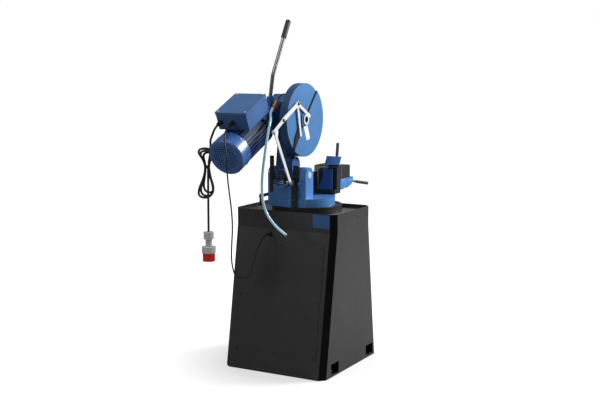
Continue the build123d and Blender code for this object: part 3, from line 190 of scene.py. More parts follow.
def dust_group() -> bpy.types.NodeTree:
    """Pale dust that settles on faces looking up, broken by noise.

    Returns:
        The node group, with a Color output.
    """
    tree = new_group(
        "settled_dust",
        [("Vector", "NodeSocketVector"), ("Color", "NodeSocketColor"), ("Dust", "NodeSocketColor"),
         ("Amount", "NodeSocketFloat")],
        [("Color", "NodeSocketColor")],
    )
    given, sink = group_ends(tree)
    geometry = add_node(tree, "NewGeometry")
    split = add_node(tree, "SeparateXYZ", {}, {"Vector": geometry.outputs["Normal"]})
    upward = add_node(tree, "MapRange", {"From Min": 0.45, "From Max": 1.0}, {"Value": split.outputs["Z"]})
    noise = add_node(tree, "TexNoise", {"Scale": 30.0, "Detail": 6.0}, {"Vector": given["Vector"]})
    mask = add_node(
        tree, "Math", {}, {0: upward.outputs["Result"], 1: noise.outputs["Fac"]}, operation="MULTIPLY",
    )
    share = add_node(
        tree, "Math", {}, {0: mask.outputs["Value"], 1: given["Amount"]}, operation="MULTIPLY",
    )
    mix = add_node(
        tree, "Mix", {}, {"Factor": share.outputs["Value"], 6: given["Color"], 7: given["Dust"]},
        data_type="RGBA",
    )
    tree.links.new(mix.outputs[2], sink["Color"])
    return tree


def painted_shade_group() -> bpy.types.NodeTree:
    """Painted shade: colour darkens and gloss dulls where a surface looks along none of the chosen axes, as
    on chamfers and rims.

    Returns:
        The node group, with Color and Specular outputs.
    """
    tree = new_group(
        "painted_shade_depth",
        [("Color", "NodeSocketColor"), ("Specular", "NodeSocketFloat"), ("Depth", "NodeSocketFloat"),
         ("Axes", "NodeSocketVector")],
        [("Color", "NodeSocketColor"), ("Specular", "NodeSocketFloat")],
    )
    given, sink = group_ends(tree)
    place = add_node(tree, "TexCoord")
    size = add_node(tree, "VectorMath", {}, {0: place.outputs["Normal"]}, operation="ABSOLUTE")
    chosen = add_node(
        tree, "VectorMath", {}, {0: size.outputs["Vector"], 1: given["Axes"]}, operation="MULTIPLY",
    )
    split = add_node(tree, "SeparateXYZ", {}, {"Vector": chosen.outputs["Vector"]})
    level = add_node(tree, "Math", {}, {0: split.outputs["X"], 1: split.outputs["Y"]}, operation="MAXIMUM")
    most = add_node(
        tree, "Math", {}, {0: level.outputs["Value"], 1: split.outputs["Z"]}, operation="MAXIMUM",
    )
    span = add_node(
        tree, "MapRange", {"From Min": 0.74, "From Max": 0.9, "To Max": 1.0},
        {"Value": most.outputs["Value"], "To Min": given["Depth"]},
    )
    scale = add_node(
        tree, "VectorMath", {}, {"Vector": given["Color"], "Scale": span.outputs["Result"]},
        operation="SCALE",
    )
    tree.links.new(scale.outputs["Vector"], sink["Color"])
    dull = add_node(
        tree, "Math", {}, {0: given["Specular"], 1: span.outputs["Result"]}, operation="MULTIPLY",
    )
    tree.links.new(dull.outputs["Value"], sink["Specular"])
    return tree


@dataclass(frozen=True)
class SharedEffects:
    """The shader groups, built once for all finishes."""

    mottle: bpy.types.NodeTree
    relief: bpy.types.NodeTree
    dust: bpy.types.NodeTree
    # painted shade on faces turned from the chosen axes
    edge: bpy.types.NodeTree

    @classmethod
    def build(cls) -> "SharedEffects":
        """Build the four groups."""
        return cls(mottle_group(), relief_group(), dust_group(), painted_shade_group())


@dataclass(frozen=True)
class Finish:
    """One surface finish: a drifting colour and roughness, fine relief, dust, gloss and painted shade on
    faces turned from chosen axes.
    """

    name: str
    colour: Colour
    roughness: float
    metallic: float = 0.0
    shade: float = 0.82
    mottle_scale: float = 9.0
    spread: float = 0.12
    relief: Relief = Relief.EVEN
    relief_scale: float = 900.0
    bump: float = 0.06
    bump_depth: float = 0.001
    coat: float = 0.0
    coat_roughness: float = 0.12
    dust: float = 0.0
    dust_colour: Colour = (0.45, 0.45, 0.44)
    specular: float = 0.5
    # Painted shade: how dark faces turned from unshaded_axes are painted; 1.0 paints none.
    painted_shade_depth: float = 1.0
    unshaded_axes: Point = (1.0, 1.0, 1.0)

    def material(self, shared: SharedEffects) -> bpy.types.Material:
        """Build the material.

        Args:
            shared: The shader groups to place in it.

        Returns:
            The new material.
        """
        made = bpy.data.materials.new(self.name)
        made.use_nodes = True
        tree = made.node_tree
        shader = tree.nodes["Principled BSDF"].inputs
        shader["Metallic"].default_value = self.metallic
        shader["Coat Weight"].default_value = self.coat
        shader["Coat Roughness"].default_value = self.coat_roughness
        place = add_node(tree, "TexCoord").outputs["Object"]
        mottle = add_node(tree, "Group", {
            "Paint": (*self.colour, 1.0), "Shade": (*(c * self.shade for c in self.colour), 1.0),
            "Scale": self.mottle_scale, "Roughness": self.roughness, "Spread": self.spread,
        }, {"Vector": place}, node_tree=shared.mottle)
        tree.links.new(mottle.outputs["Roughness"], shader["Roughness"])
        dust = add_node(
            tree, "Group", {"Dust": (*self.dust_colour, 1.0), "Amount": self.dust},
            {"Vector": place, "Color": mottle.outputs["Color"]}, node_tree=shared.dust,
        )
        # Painted shade: darker colour and duller gloss on faces turned from the unshaded axes.
        edge = add_node(
            tree, "Group", {"Specular": self.specular, "Depth": self.painted_shade_depth, "Axes": self.unshaded_axes},
            {"Color": dust.outputs["Color"]}, node_tree=shared.edge,
        )
        tree.links.new(edge.outputs["Color"], shader["Base Color"])
        tree.links.new(edge.outputs["Specular"], shader["Specular IOR Level"])
        relief = add_node(
            tree, "Group", {"Stretch": self.relief.value, "Scale": self.relief_scale}, {"Vector": place},
            node_tree=shared.relief,
        )
        bump = add_node(
            tree, "Bump", {"Strength": self.bump, "Distance": self.bump_depth},
            {"Height": relief.outputs["Height"]},
        )
        tree.links.new(bump.outputs["Normal"], shader["Normal"])
        return made


# The cabinet's corner chamfers get painted shade.
CABINET_COAT = Finish("cabinet_coat", (0.03, 0.03, 0.031), 0.42, relief_scale=1500.0, bump=0.12, dust=0.05,
                      painted_shade_depth=0.16)
PANEL_COAT = Finish("panel_coat", (0.029, 0.029, 0.03), 0.42, relief_scale=1500.0, bump=0.12)
TRAY_COAT = Finish("tray_coat", (0.05, 0.05, 0.053), 0.4, relief_scale=700.0, dust=0.12)
BLUE_ENAMEL = Finish("blue_enamel", (0.07, 0.23, 0.56), 0.3, coat=0.35, relief_scale=420.0, bump=0.05)
# The guards' rims, the faces not looking along x, get painted shade.
GUARD_ENAMEL = Finish("guard_enamel", (0.07, 0.2, 0.44), 0.36, coat=0.1, relief_scale=420.0, bump=0.04,
                      specular=0.35, painted_shade_depth=0.45, unshaded_axes=(1.0, 0.0, 0.0))
CASTING_ENAMEL = Finish("casting_enamel", (0.02, 0.075, 0.24), 0.45, coat=0.05, relief_scale=240.0,
                        bump=0.12)
# Motor housing: a darker blue than the casting enamel, painted shade for the shadow over its fins.
SHADED_FIN_ENAMEL = Finish("shaded_fin_enamel", (0.008, 0.035, 0.12), 0.55, relief_scale=240.0, bump=0.12, specular=0.3)
BOX_ENAMEL = Finish("box_enamel", (0.046, 0.135, 0.34), 0.36, coat=0.2, relief_scale=700.0, bump=0.06)
COWL_ENAMEL = Finish("cowl_enamel", (0.036, 0.12, 0.36), 0.34, coat=0.2, relief_scale=420.0, bump=0.05)
WHITE_ENAMEL = Finish("white_enamel", (0.72, 0.72, 0.71), 0.35, shade=0.94, relief_scale=500.0)
RED_ENAMEL = Finish("red_enamel", (0.5, 0.022, 0.018), 0.3, coat=0.4)
BLACK_ENAMEL = Finish("black_enamel", (0.012, 0.012, 0.013), 0.4, relief_scale=500.0, bump=0.08)
BLACK_IRON = Finish("black_iron", (0.009, 0.009, 0.01), 0.45, relief_scale=240.0, bump=0.16)
STEEL = Finish("turned_steel", (0.55, 0.55, 0.56), 0.3, metallic=1.0, shade=0.9, relief_scale=900.0,
               bump=0.05)
GROUND_STEEL = Finish("ground_steel", (0.6, 0.6, 0.61), 0.28, metallic=1.0, shade=0.92,
                      relief=Relief.ALONG_X, relief_scale=1600.0, bump=0.1)
HANDLE_CHROME = Finish("handle_chrome", (0.17, 0.17, 0.175), 0.3, metallic=1.0, shade=0.85,
                       mottle_scale=14.0, relief_scale=600.0)
SPRING_STEEL = Finish("spring_steel", (0.12, 0.12, 0.125), 0.38, metallic=1.0)
GRIP_STEEL = Finish("grip_steel", (0.3, 0.3, 0.31), 0.3, metallic=1.0)
WHEEL_CHROME = Finish("wheel_chrome", (0.6, 0.6, 0.61), 0.18, metallic=1.0, shade=0.9)
LAMINATION = Finish("lamination", (0.3, 0.3, 0.31), 0.45, metallic=1.0, relief=Relief.ALONG_X,
                    relief_scale=1500.0, bump=0.2)
BRONZE = Finish("cut_bronze", (0.6, 0.36, 0.14), 0.35, metallic=1.0)
BRASS = Finish("valve_brass", (0.78, 0.5, 0.16), 0.24, metallic=1.0, shade=0.88)
PIN_ZINC = Finish("pin_zinc", (0.62, 0.74, 0.78), 0.4, metallic=0.4, shade=0.9, relief_scale=600.0)
RUBBER = Finish("cord_rubber", (0.012, 0.012, 0.012), 0.55, relief_scale=800.0)
# Near-black sheet for the painted shade along the moving guard's edges.
SHADE_BAND_BLACK = Finish("shade_band_black", (0.004, 0.006, 0.012), 0.7, relief_scale=800.0, specular=0.2)
GRIP_RUBBER = Finish("grip_rubber", (0.015, 0.015, 0.016), 0.6, relief_scale=700.0, bump=0.2)
BLACK_PLASTIC = Finish("black_plastic", (0.015, 0.015, 0.016), 0.42, relief_scale=1200.0, bump=0.1)
GREY_PLASTIC = Finish("grey_plastic", (0.55, 0.56, 0.55), 0.45, shade=0.93, relief_scale=1200.0,
                      bump=0.08)
RED_PLASTIC = Finish("red_plastic", (0.75, 0.012, 0.01), 0.35, shade=0.92, relief_scale=1200.0)
HOSE_PVC = Finish("hose_pvc", (0.5, 0.84, 0.97), 0.22, shade=0.95, coat=0.3)
SIGN_BLUE = Finish("sign_blue", (0.03, 0.1, 0.27), 0.35, shade=0.95)
SIGN_WHITE = Finish("sign_white", (0.78, 0.79, 0.8), 0.4, shade=0.96)

NODE_FINISHES: Dict[str, Finish] = {
    "cabinet": CABINET_COAT, "chip_tray": TRAY_COAT, "rear_panel": PANEL_COAT,
    "pump_cable_grommet": RUBBER, "coolant_tank": BLACK_ENAMEL, "coolant_pump": BLACK_PLASTIC,
    "base_plate": BLACK_IRON, "vice_bed": BLACK_IRON, "fixed_jaws": BLACK_IRON,
    "jaw_brackets": CASTING_ENAMEL, "jaw_shield": BLUE_ENAMEL, "turntable": BLUE_ENAMEL,
    "pivot_pin": PIN_ZINC, "link_bracket": BLACK_ENAMEL, "anchor_pin": STEEL,
    "lock_lever": BLACK_ENAMEL, "lower_link": WHITE_ENAMEL, "upper_link": WHITE_ENAMEL,
    "gearbox": CASTING_ENAMEL, "gearbox_cover": CASTING_ENAMEL, "bearings": STEEL,
    "motor_housing": SHADED_FIN_ENAMEL, "motor_stator": LAMINATION, "fan_cowl": COWL_ENAMEL,
    "control_box": BOX_ENAMEL, "control_box_lid": BOX_ENAMEL, "cable_glands": BLACK_PLASTIC,
    "fixed_guard": GUARD_ENAMEL, "guard_hub_ring": WHITE_ENAMEL, "handle_tube": HANDLE_CHROME,
    "hand_grip": GRIP_RUBBER, "coolant_valve": BRASS, "nozzle_tube": BLACK_PLASTIC,
    "cable_tie": BLACK_PLASTIC, "mains_plug": GREY_PLASTIC, "plug_shroud": RED_PLASTIC, "blade": STEEL,
    "arbor": STEEL, "blade_clamp": STEEL, "worm_wheel": BRONZE, "worm_shaft": STEEL,
    "rotor_core": LAMINATION, "cooling_fan": BLACK_PLASTIC, "moving_guard": GUARD_ENAMEL,
    "guard_bracket": WHITE_ENAMEL, "trigger_button": BLACK_PLASTIC, "valve_handle": RED_ENAMEL,
    "vice_carrier": BLUE_ENAMEL, "moving_jaws": BLACK_IRON, "jaw_faces": GROUND_STEEL,
    "vice_spindle": STEEL, "vice_wheel": WHEEL_CHROME, "wheel_grips": GRIP_STEEL,
}


@dataclass
class PaintShop:
    """Materials made from finishes, each built once."""

    shared: SharedEffects
    made: Dict[str, bpy.types.Material]

    def of(self, finish: Finish) -> bpy.types.Material:
        """Return the finish's material, built on first use."""
        if finish.name not in self.made:
            self.made[finish.name] = finish.material(self.shared)
        return self.made[finish.name]

    def dress_nodes(self) -> None:
        """Give every carried-over node its finish."""
        for name, finish in NODE_FINISHES.items():
            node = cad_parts[name]
            if not node.material_slots:
                node.data.materials.append(self.of(finish))
            for place in node.material_slots:
                place.material = self.of(finish)
            log.info("dressed %s with %s", name, finish.name)


# Meshes worked out on grids
def grid_object(name: str, rows: np.ndarray, capped: Tuple[bool, bool],
                smooth: bool = True) -> bpy.types.Object:
    """Make an object from rings of points, each ring closed on itself.

    Args:
        name: The object's name.
        rows: Ring points, as rings by points by 3, in metres.
        capped: Whether the first and the last ring are closed by one face.
        smooth: Whether its faces are shaded smooth.

    Returns:
        The new object at the origin.
    """
    rings, around = rows.shape[:2]
    index = np.arange(rings * around).reshape(rings, around)
    ahead = np.roll(index, -1, axis=1)
    quads = np.stack([index[:-1], ahead[:-1], ahead[1:], index[1:]], axis=-1).reshape(-1, 4)
    faces: List[List[int]] = quads.tolist()
    if capped[0]:
        faces.append(index[0, ::-1].tolist())
    if capped[1]:
        faces.append(index[-1].tolist())
    return mesh_object(name, rows.reshape(-1, 3), faces, smooth)


def mesh_object(name: str, points: np.ndarray, faces: List[List[int]],
                smooth: bool = True) -> bpy.types.Object:
    """Make an object from points and faces, and link it to the scene.

    Args:
        name: The object's name.
        points: Points, as rows of 3, in metres.
        faces: Point numbers of each face.
        smooth: Whether its faces are shaded smooth.

    Returns:
        The new object at the origin.
    """
    mesh = bpy.data.meshes.new(name)
    mesh.from_pydata(points.tolist(), [], faces)
    mesh.polygons.foreach_set("use_smooth", np.full(len(mesh.polygons), smooth))
    mesh.validate()
    mesh.update()
    made = bpy.data.objects.new(name, mesh)
    bpy.context.scene.collection.objects.link(made)
    return made


def joined(name: str, objects: Sequence[bpy.types.Object]) -> bpy.types.Object:
    """Gather several new objects into one, as one group of like pieces.

    Args:
        name: The name of the group.
        objects: The objects to gather; they are removed.

    Returns:
        One object with all their faces.
    """
    points: List[np.ndarray] = []
    faces: List[List[int]] = []
    smooth: List[bool] = []
    start = 0
    for part in objects:
        count = len(part.data.vertices)
        flat = np.empty(count * 3)
        part.data.vertices.foreach_get("co", flat)
        points.append(flat.reshape(-1, 3))
        faces.extend([start + i for i in face.vertices] for face in part.data.polygons)
        smooth.extend(face.use_smooth for face in part.data.polygons)
        start += count
        bpy.data.objects.remove(part)
    made = mesh_object(name, np.concatenate(points), faces)
    made.data.polygons.foreach_set("use_smooth", smooth)
    return made


def across(axis: np.ndarray) -> Tuple[np.ndarray, np.ndarray]:
    """Return two unit vectors square to an axis and to each other."""
    helper = np.array([0.0, 0.0, 1.0]) if abs(axis[2]) < 0.9 else np.array([1.0, 0.0, 0.0])
    first = np.cross(helper, axis)
    first /= np.linalg.norm(first)
    return first, np.cross(axis, first)


def turned(name: str, profile: Sequence[Tuple[float, float]], at: Point, axis: Point, sides: int = 24,
           lobes: int = 0, depth: float = 0.0) -> bpy.types.Object:
    """Turn a profile about an axis: each point is at + axis * height + radius * (cos a, sin a).

    Args:
        name: The object's name.
        profile: Radius and height pairs in millimetres, from the foot to the top.
        at: Foot of the axis in millimetres.
        axis: Direction of the axis.
        sides: Points around.
        lobes: Number of flats or lobes around, none for a round piece.
        depth: Share of the radius that a lobe's hollow takes.

    Returns:
        The turned object, closed at both ends.
    """
    run = np.array(axis, float)
    run /= np.linalg.norm(run)
    first, second = across(run)
    angle = np.linspace(0.0, 2 * math.pi, sides, endpoint=False)
    pairs = np.array(profile, float)
    ripple = 1.0 - depth * 0.5 * (1.0 - np.cos(lobes * angle)) if lobes else np.ones(sides)
    ring = np.cos(angle)[:, None] * first + np.sin(angle)[:, None] * second
    rows = (np.array(at, float) + pairs[:, 1][:, None, None] * run
            + pairs[:, 0][:, None, None] * (ripple[:, None] * ring)[None])
    return grid_object(name, rows * MM, (True, True))


def plate(name: str, outline: np.ndarray, out: Point, thick: float, edge: float) -> bpy.types.Object:
    """A thin plate with a softened edge: an outline carried along a normal and drawn in at the top.

    Args:
        name: The object's name.
        outline: Points of the outline on the face that carries it, in millimetres, anticlockwise seen
            from outside.
        out: Direction of the plate's outer face.
        thick: Thickness in millimetres.
        edge: How far the edge is drawn in, in millimetres.

    Returns:
        The plate.
    """
    normal = np.array(out, float)
    normal /= np.linalg.norm(normal)
    middle = outline.mean(axis=0)
    spokes = outline - middle
    reach = np.linalg.norm(spokes, axis=1, keepdims=True)
    drawn = middle + spokes * (1.0 - edge / reach)
    rows = np.stack([outline, outline + normal * (thick - edge), drawn + normal * thick])
    return grid_object(name, rows * MM, (True, True), smooth=False)


def rounded_outline(centre: Point, u: Point, v: Point, half: Tuple[float, float],
                    radius: float) -> np.ndarray:
    """A rectangle with round corners: quarter circles at the four corners of a smaller rectangle.

    Args:
        centre: Middle of the outline in millimetres.
        u: Unit vector along its width.
        v: Unit vector along its height.
        half: Half width and half height in millimetres.
        radius: Corner radius in millimetres.

    Returns:
        The outline's points as rows of 3.
    """
    quarter_step = math.pi / (2 * OUTLINE_POINTS)
    angle = np.linspace(0.0, 2 * math.pi, OUTLINE_POINTS, endpoint=False) + quarter_step
    x = np.sign(np.cos(angle)) * (half[0] - radius) + radius * np.cos(angle)
    y = np.sign(np.sin(angle)) * (half[1] - radius) + radius * np.sin(angle)
    return np.array(centre) + x[:, None] * np.array(u) + y[:, None] * np.array(v)


def tube_rows(path: np.ndarray, radii: np.ndarray, reference: Point, sides: int) -> np.ndarray:
    """Rings square to a path: each ring is path + radius * (cos a * n + sin a * b).

    Args:
        path: Points of the path as rows of 3.
        radii: Radius at each point.
        reference: A direction the path never runs along, which keeps the rings from twisting.
        sides: Points around.

    Returns:
        The rings, as rings by points by 3.
    """
    run = np.gradient(path, axis=0)
    run /= np.linalg.norm(run, axis=1, keepdims=True)
    normal = np.cross(run, np.array(reference, float))
    normal /= np.linalg.norm(normal, axis=1, keepdims=True)
    other = np.cross(run, normal)
    angle = np.linspace(0.0, 2 * math.pi, sides, endpoint=False)
    ring = np.cos(angle)[None, :, None] * normal[:, None] + np.sin(angle)[None, :, None] * other[:, None]
    return path[:, None] + radii[:, None, None] * ring


def finish_piece(piece: bpy.types.Object, body: Body,
                 material: bpy.types.Material) -> bpy.types.Object:
    """Dress a new piece and let it ride on a body.

    Args:
        piece: The new piece.
        body: The body it moves with.
        material: The material it is shown in.

    Returns:
        The same piece.
    """
    piece.data.materials.append(material)
    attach(piece, body.value)
    log.info("built %s on %s", piece.name, body.value)
    return piece


@dataclass(frozen=True)
class Studio:
    """Pale floor, soft light and the photograph's camera."""

    camera_at: Point = (-2.4874, 4.5084, 1.4948)
    heading: float = math.radians(28.989)
    pitch: float = math.radians(7.767)
    lens: float = 64.29
    floor_rings: Tuple[float, ...] = (0.001, 0.6, 1.5, 4.0, 12.0, 40.0)
    floor_sides: int = 64
    floor_drop: float = 0.0005
    floor_colour: Colour = (0.3, 0.3, 0.3)
    # Painted light: strength of the floor's camera-only glow, near the saw and far from it.
    floor_glow: Tuple[float, float] = (0.6, 1.0)
    # Distances in metres over which the painted glow rises, leaving the floor painted darker round the saw.
    floor_glow_reach: Tuple[float, float] = (0.36, 0.8)
    sky_light: float = 0.25
    sky_seen: float = 1.0

    def build(self) -> None:
        """Make the camera, floor, sky and lamps."""
        self.camera()
        self.floor()
        self.sky()
        self.lamp("side_lamp", (-2.7, -2.8, 3.3), (-0.1, 0.0, 1.0), 1.8, 370.0)
        self.lamp("top_lamp", (0.4, 1.6, 4.4), (0.0, 0.1, 0.9), 1.8, 52.0)
        self.lamp("rear_lamp", (2.2, 3.6, 2.6), (0.1, 0.2, 1.1), 0.9, 16.0)

    def camera(self) -> None:
        """Place the camera where the photograph was taken from."""
        eye = bpy.data.cameras.new("photo_camera")
        eye.sensor_width = 36.0
        eye.lens = self.lens
        eye.clip_end = 200.0
        holder = bpy.data.objects.new("photo_camera", eye)
        forward = Vector((
            math.sin(self.heading) * math.cos(self.pitch),
            -math.cos(self.heading) * math.cos(self.pitch),
            -math.sin(self.pitch),
        ))
        holder.location = self.camera_at
        holder.rotation_euler = forward.to_track_quat("-Z", "Y").to_euler()
        bpy.context.scene.collection.objects.link(holder)
        bpy.context.scene.camera = holder

    def floor(self) -> None:
        """Lay a wide round floor: rings of growing radius at the floor's height."""
        radius = np.array(self.floor_rings)
        angle = np.linspace(0.0, 2 * math.pi, self.floor_sides, endpoint=False)
        rows = np.zeros((len(radius), len(angle), 3))
        rows[..., 0] = radius[:, None] * np.cos(angle)
        rows[..., 1] = radius[:, None] * np.sin(angle)
        rows[..., 2] = -self.floor_drop
        ground = grid_object("studio_floor", rows, (True, False))
        ground.data.materials.append(self.floor_paint_and_glow())

    def floor_paint_and_glow(self) -> bpy.types.Material:
        """Make the floor's paint, which the camera sees brighter than it lights the saw: a painted glow for
        camera rays only, weaker near the saw, so the floor round its foot is painted darker.

        Returns:
            The new material.
        """
        made = bpy.data.materials.new("floor_paint_and_glow")
        made.use_nodes = True
        tree = made.node_tree
        shader = tree.nodes["Principled BSDF"].inputs
        shader["Base Color"].default_value = (*self.floor_colour, 1.0)
        shader["Roughness"].default_value = 0.85
        shader["Specular IOR Level"].default_value = 0.1
        shader["Emission Color"].default_value = (1.0, 1.0, 1.0, 1.0)
        place = add_node(tree, "TexCoord")
        reach = add_node(tree, "VectorMath", {}, {0: place.outputs["Object"]}, operation="LENGTH")
        fade = add_node(tree, "MapRange", {
            "From Min": self.floor_glow_reach[0], "From Max": self.floor_glow_reach[1],
            "To Min": self.floor_glow[0], "To Max": self.floor_glow[1],
        }, {"Value": reach.outputs["Value"]})
        # Painted light: the glow reaches camera rays only, scaled by the distance from the saw.
        rays = add_node(tree, "LightPath")
        lift = add_node(
            tree, "Math", {}, {0: rays.outputs["Is Camera Ray"], 1: fade.outputs["Result"]},
            operation="MULTIPLY",
        )
        tree.links.new(lift.outputs["Value"], shader["Emission Strength"])
        return made

    def sky(self) -> None:
        """Light the room evenly from a dim sky that the camera sees white."""
        world = bpy.data.worlds.new("studio_sky")
        world.use_nodes = True
        ground = world.node_tree.nodes["Background"]
        ground.inputs["Color"].default_value = (1.0, 1.0, 1.0, 1.0)
        tree = world.node_tree
        rays = add_node(tree, "LightPath")
        level = add_node(
            tree, "MapRange", {"To Min": self.sky_light, "To Max": self.sky_seen},
            {"Value": rays.outputs["Is Camera Ray"]},
        )
        tree.links.new(level.outputs["Result"], ground.inputs["Strength"])
        bpy.context.scene.world = world
        bpy.context.scene.view_settings.view_transform = "Standard"

    def lamp(self, name: str, at: Point, aim: Point, size: float, power: float) -> None:
        """Hang one soft square lamp.

        Args:
            name: The lamp's name.
            at: Where it hangs.
            aim: The point it looks at.
            size: Its side in metres.
            power: Its power in watts.
        """
        light = bpy.data.lights.new(name, "AREA")
        light.size = size
        light.energy = power
        holder = bpy.data.objects.new(name, light)
        holder.location = at
        holder.rotation_euler = (Vector(aim) - Vector(at)).to_track_quat("-Z", "Y").to_euler()
        bpy.context.scene.collection.objects.link(holder)


@dataclass(frozen=True)
class CordRun:
    """One cord: its route, thickness, ends and how it lies."""

    name: str
    route: Tuple[Point, ...]
    diameter: float
    length: float
    nodes: Tuple[str, ...]
    finish: Finish
    slot: str
    far_end: str
    lay: str
    stiffness: str
    reference: Point
    bends: Tuple[str, str]
    start: Point
    end: Point
    bore: float = 0.0
    sides: int = 16
    bore_rows: int = 6

    def line(self) -> np.ndarray:
        """Read points along a smooth spline that has the route as its control points.

        Returns:
            Points in metres as rows of 3.
        """
        curve = bpy.data.curves.new(self.name + "_route", "CURVE")
        curve.dimensions = "3D"
        spline = curve.splines.new("NURBS")
        spline.points.add(len(self.route) - 1)
        flat = np.ones((len(self.route), 4))
        flat[:, :3] = np.array(self.route) * MM
        spline.points.foreach_set("co", flat.ravel())
        spline.order_u = 3
        spline.use_endpoint_u = True
        spline.resolution_u = 8
        holder = bpy.data.objects.new(self.name + "_route", curve)
        mesh = bpy.data.meshes.new_from_object(holder)
        points = np.empty(len(mesh.vertices) * 3)
        mesh.vertices.foreach_get("co", points)
        bpy.data.objects.remove(holder)
        bpy.data.curves.remove(curve)
        bpy.data.meshes.remove(mesh)
        points = points.reshape(-1, 3)
        apart = np.linalg.norm(np.diff(points, axis=0), axis=1) > SAME_POINT
        return points[np.concatenate([[True], apart])]

    def build(self, shop: PaintShop, pieces: Sequence[bpy.types.Object]) -> bpy.types.Object:
        """Sweep the cord's tube along its line, with an open bore at the far end of a hose.

        Args:
            shop: Where its material comes from.
            pieces: The separate pieces on it; not used.

        Returns:
            The cord's mesh.
        """
        path = self.line()
        radius = self.diameter * MM / 2
        rows = tube_rows(path, np.full(len(path), radius), self.reference, self.sides)
        if self.bore:
            inner = tube_rows(path, np.full(len(path), self.bore * MM / 2), self.reference, self.sides)
            rows = np.concatenate([rows, inner[:-self.bore_rows - 1:-1]])
        cord = grid_object(self.name, rows, (True, True))
        cord.data.materials.append(shop.of(self.finish))
        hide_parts(*self.nodes)
        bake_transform(cord)
        measured = np.linalg.norm(np.diff(path, axis=0), axis=1).sum()
        log.info("built cord %s, %.3f m", self.name, measured)
        return cord


@dataclass(frozen=True)
class Hank:
    """The mains lead's hank: pinched loops stacked in depth, each with its own height, width and lean."""

    at: Point = (247.0, 450.0, 982.0)
    view: float = math.radians(28.989)
    turns: int = 3
    steps: int = 16
    pitch: float = 12.2
    waist: float = 6.1
    pinch: float = 2.6
    up_tall: Tuple[float, ...] = (86.0, 68.8, 77.4)
    up_wide: Tuple[float, ...] = (32.2, 18.2, 23.8)
    up_lean: Tuple[float, ...] = (10.0, -8.0, 4.0)
    down_tall: Tuple[float, ...] = (146.0, 119.72, 134.32)
    down_wide: Tuple[float, ...] = (32.0, 19.84, 27.2)
    down_lean: Tuple[float, ...] = (14.0, -10.0, 0.0)

    def route(self) -> Tuple[Point, ...]:
        """Work out the loops' control points.

        A point at angle t is at + u * (cos t * (waist + pinch * wide * sin(t)^2) + lean * sin(t)^2)
        + v * depth + z * tall * sin t.

        Returns:
            Control points in millimetres.
        """
        u = np.array([math.cos(self.view), math.sin(self.view), 0.0])
        v = np.array([-math.sin(self.view), math.cos(self.view), 0.0])
        count = np.arange(self.turns * self.steps + 1)
        t = math.pi + count * 2 * math.pi / self.steps
        s = np.sin(t)
        turn = np.minimum(count // self.steps, self.turns - 1)
        high = s > 0
        tall = np.where(high, np.array(self.up_tall)[turn], np.array(self.down_tall)[turn])
        wide = np.where(high, np.array(self.up_wide)[turn], np.array(self.down_wide)[turn])
        lean = np.where(high, np.array(self.up_lean)[turn], np.array(self.down_lean)[turn])
        x = np.cos(t) * (self.waist + self.pinch * wide * s * s) + lean * s * s
        depth = self.pitch * (count / self.steps - self.turns / 2)
        points = np.array(self.at) + x[:, None] * u + depth[:, None] * v
        points[:, 2] += tall * s
        return tuple(tuple(p) for p in points.tolist())


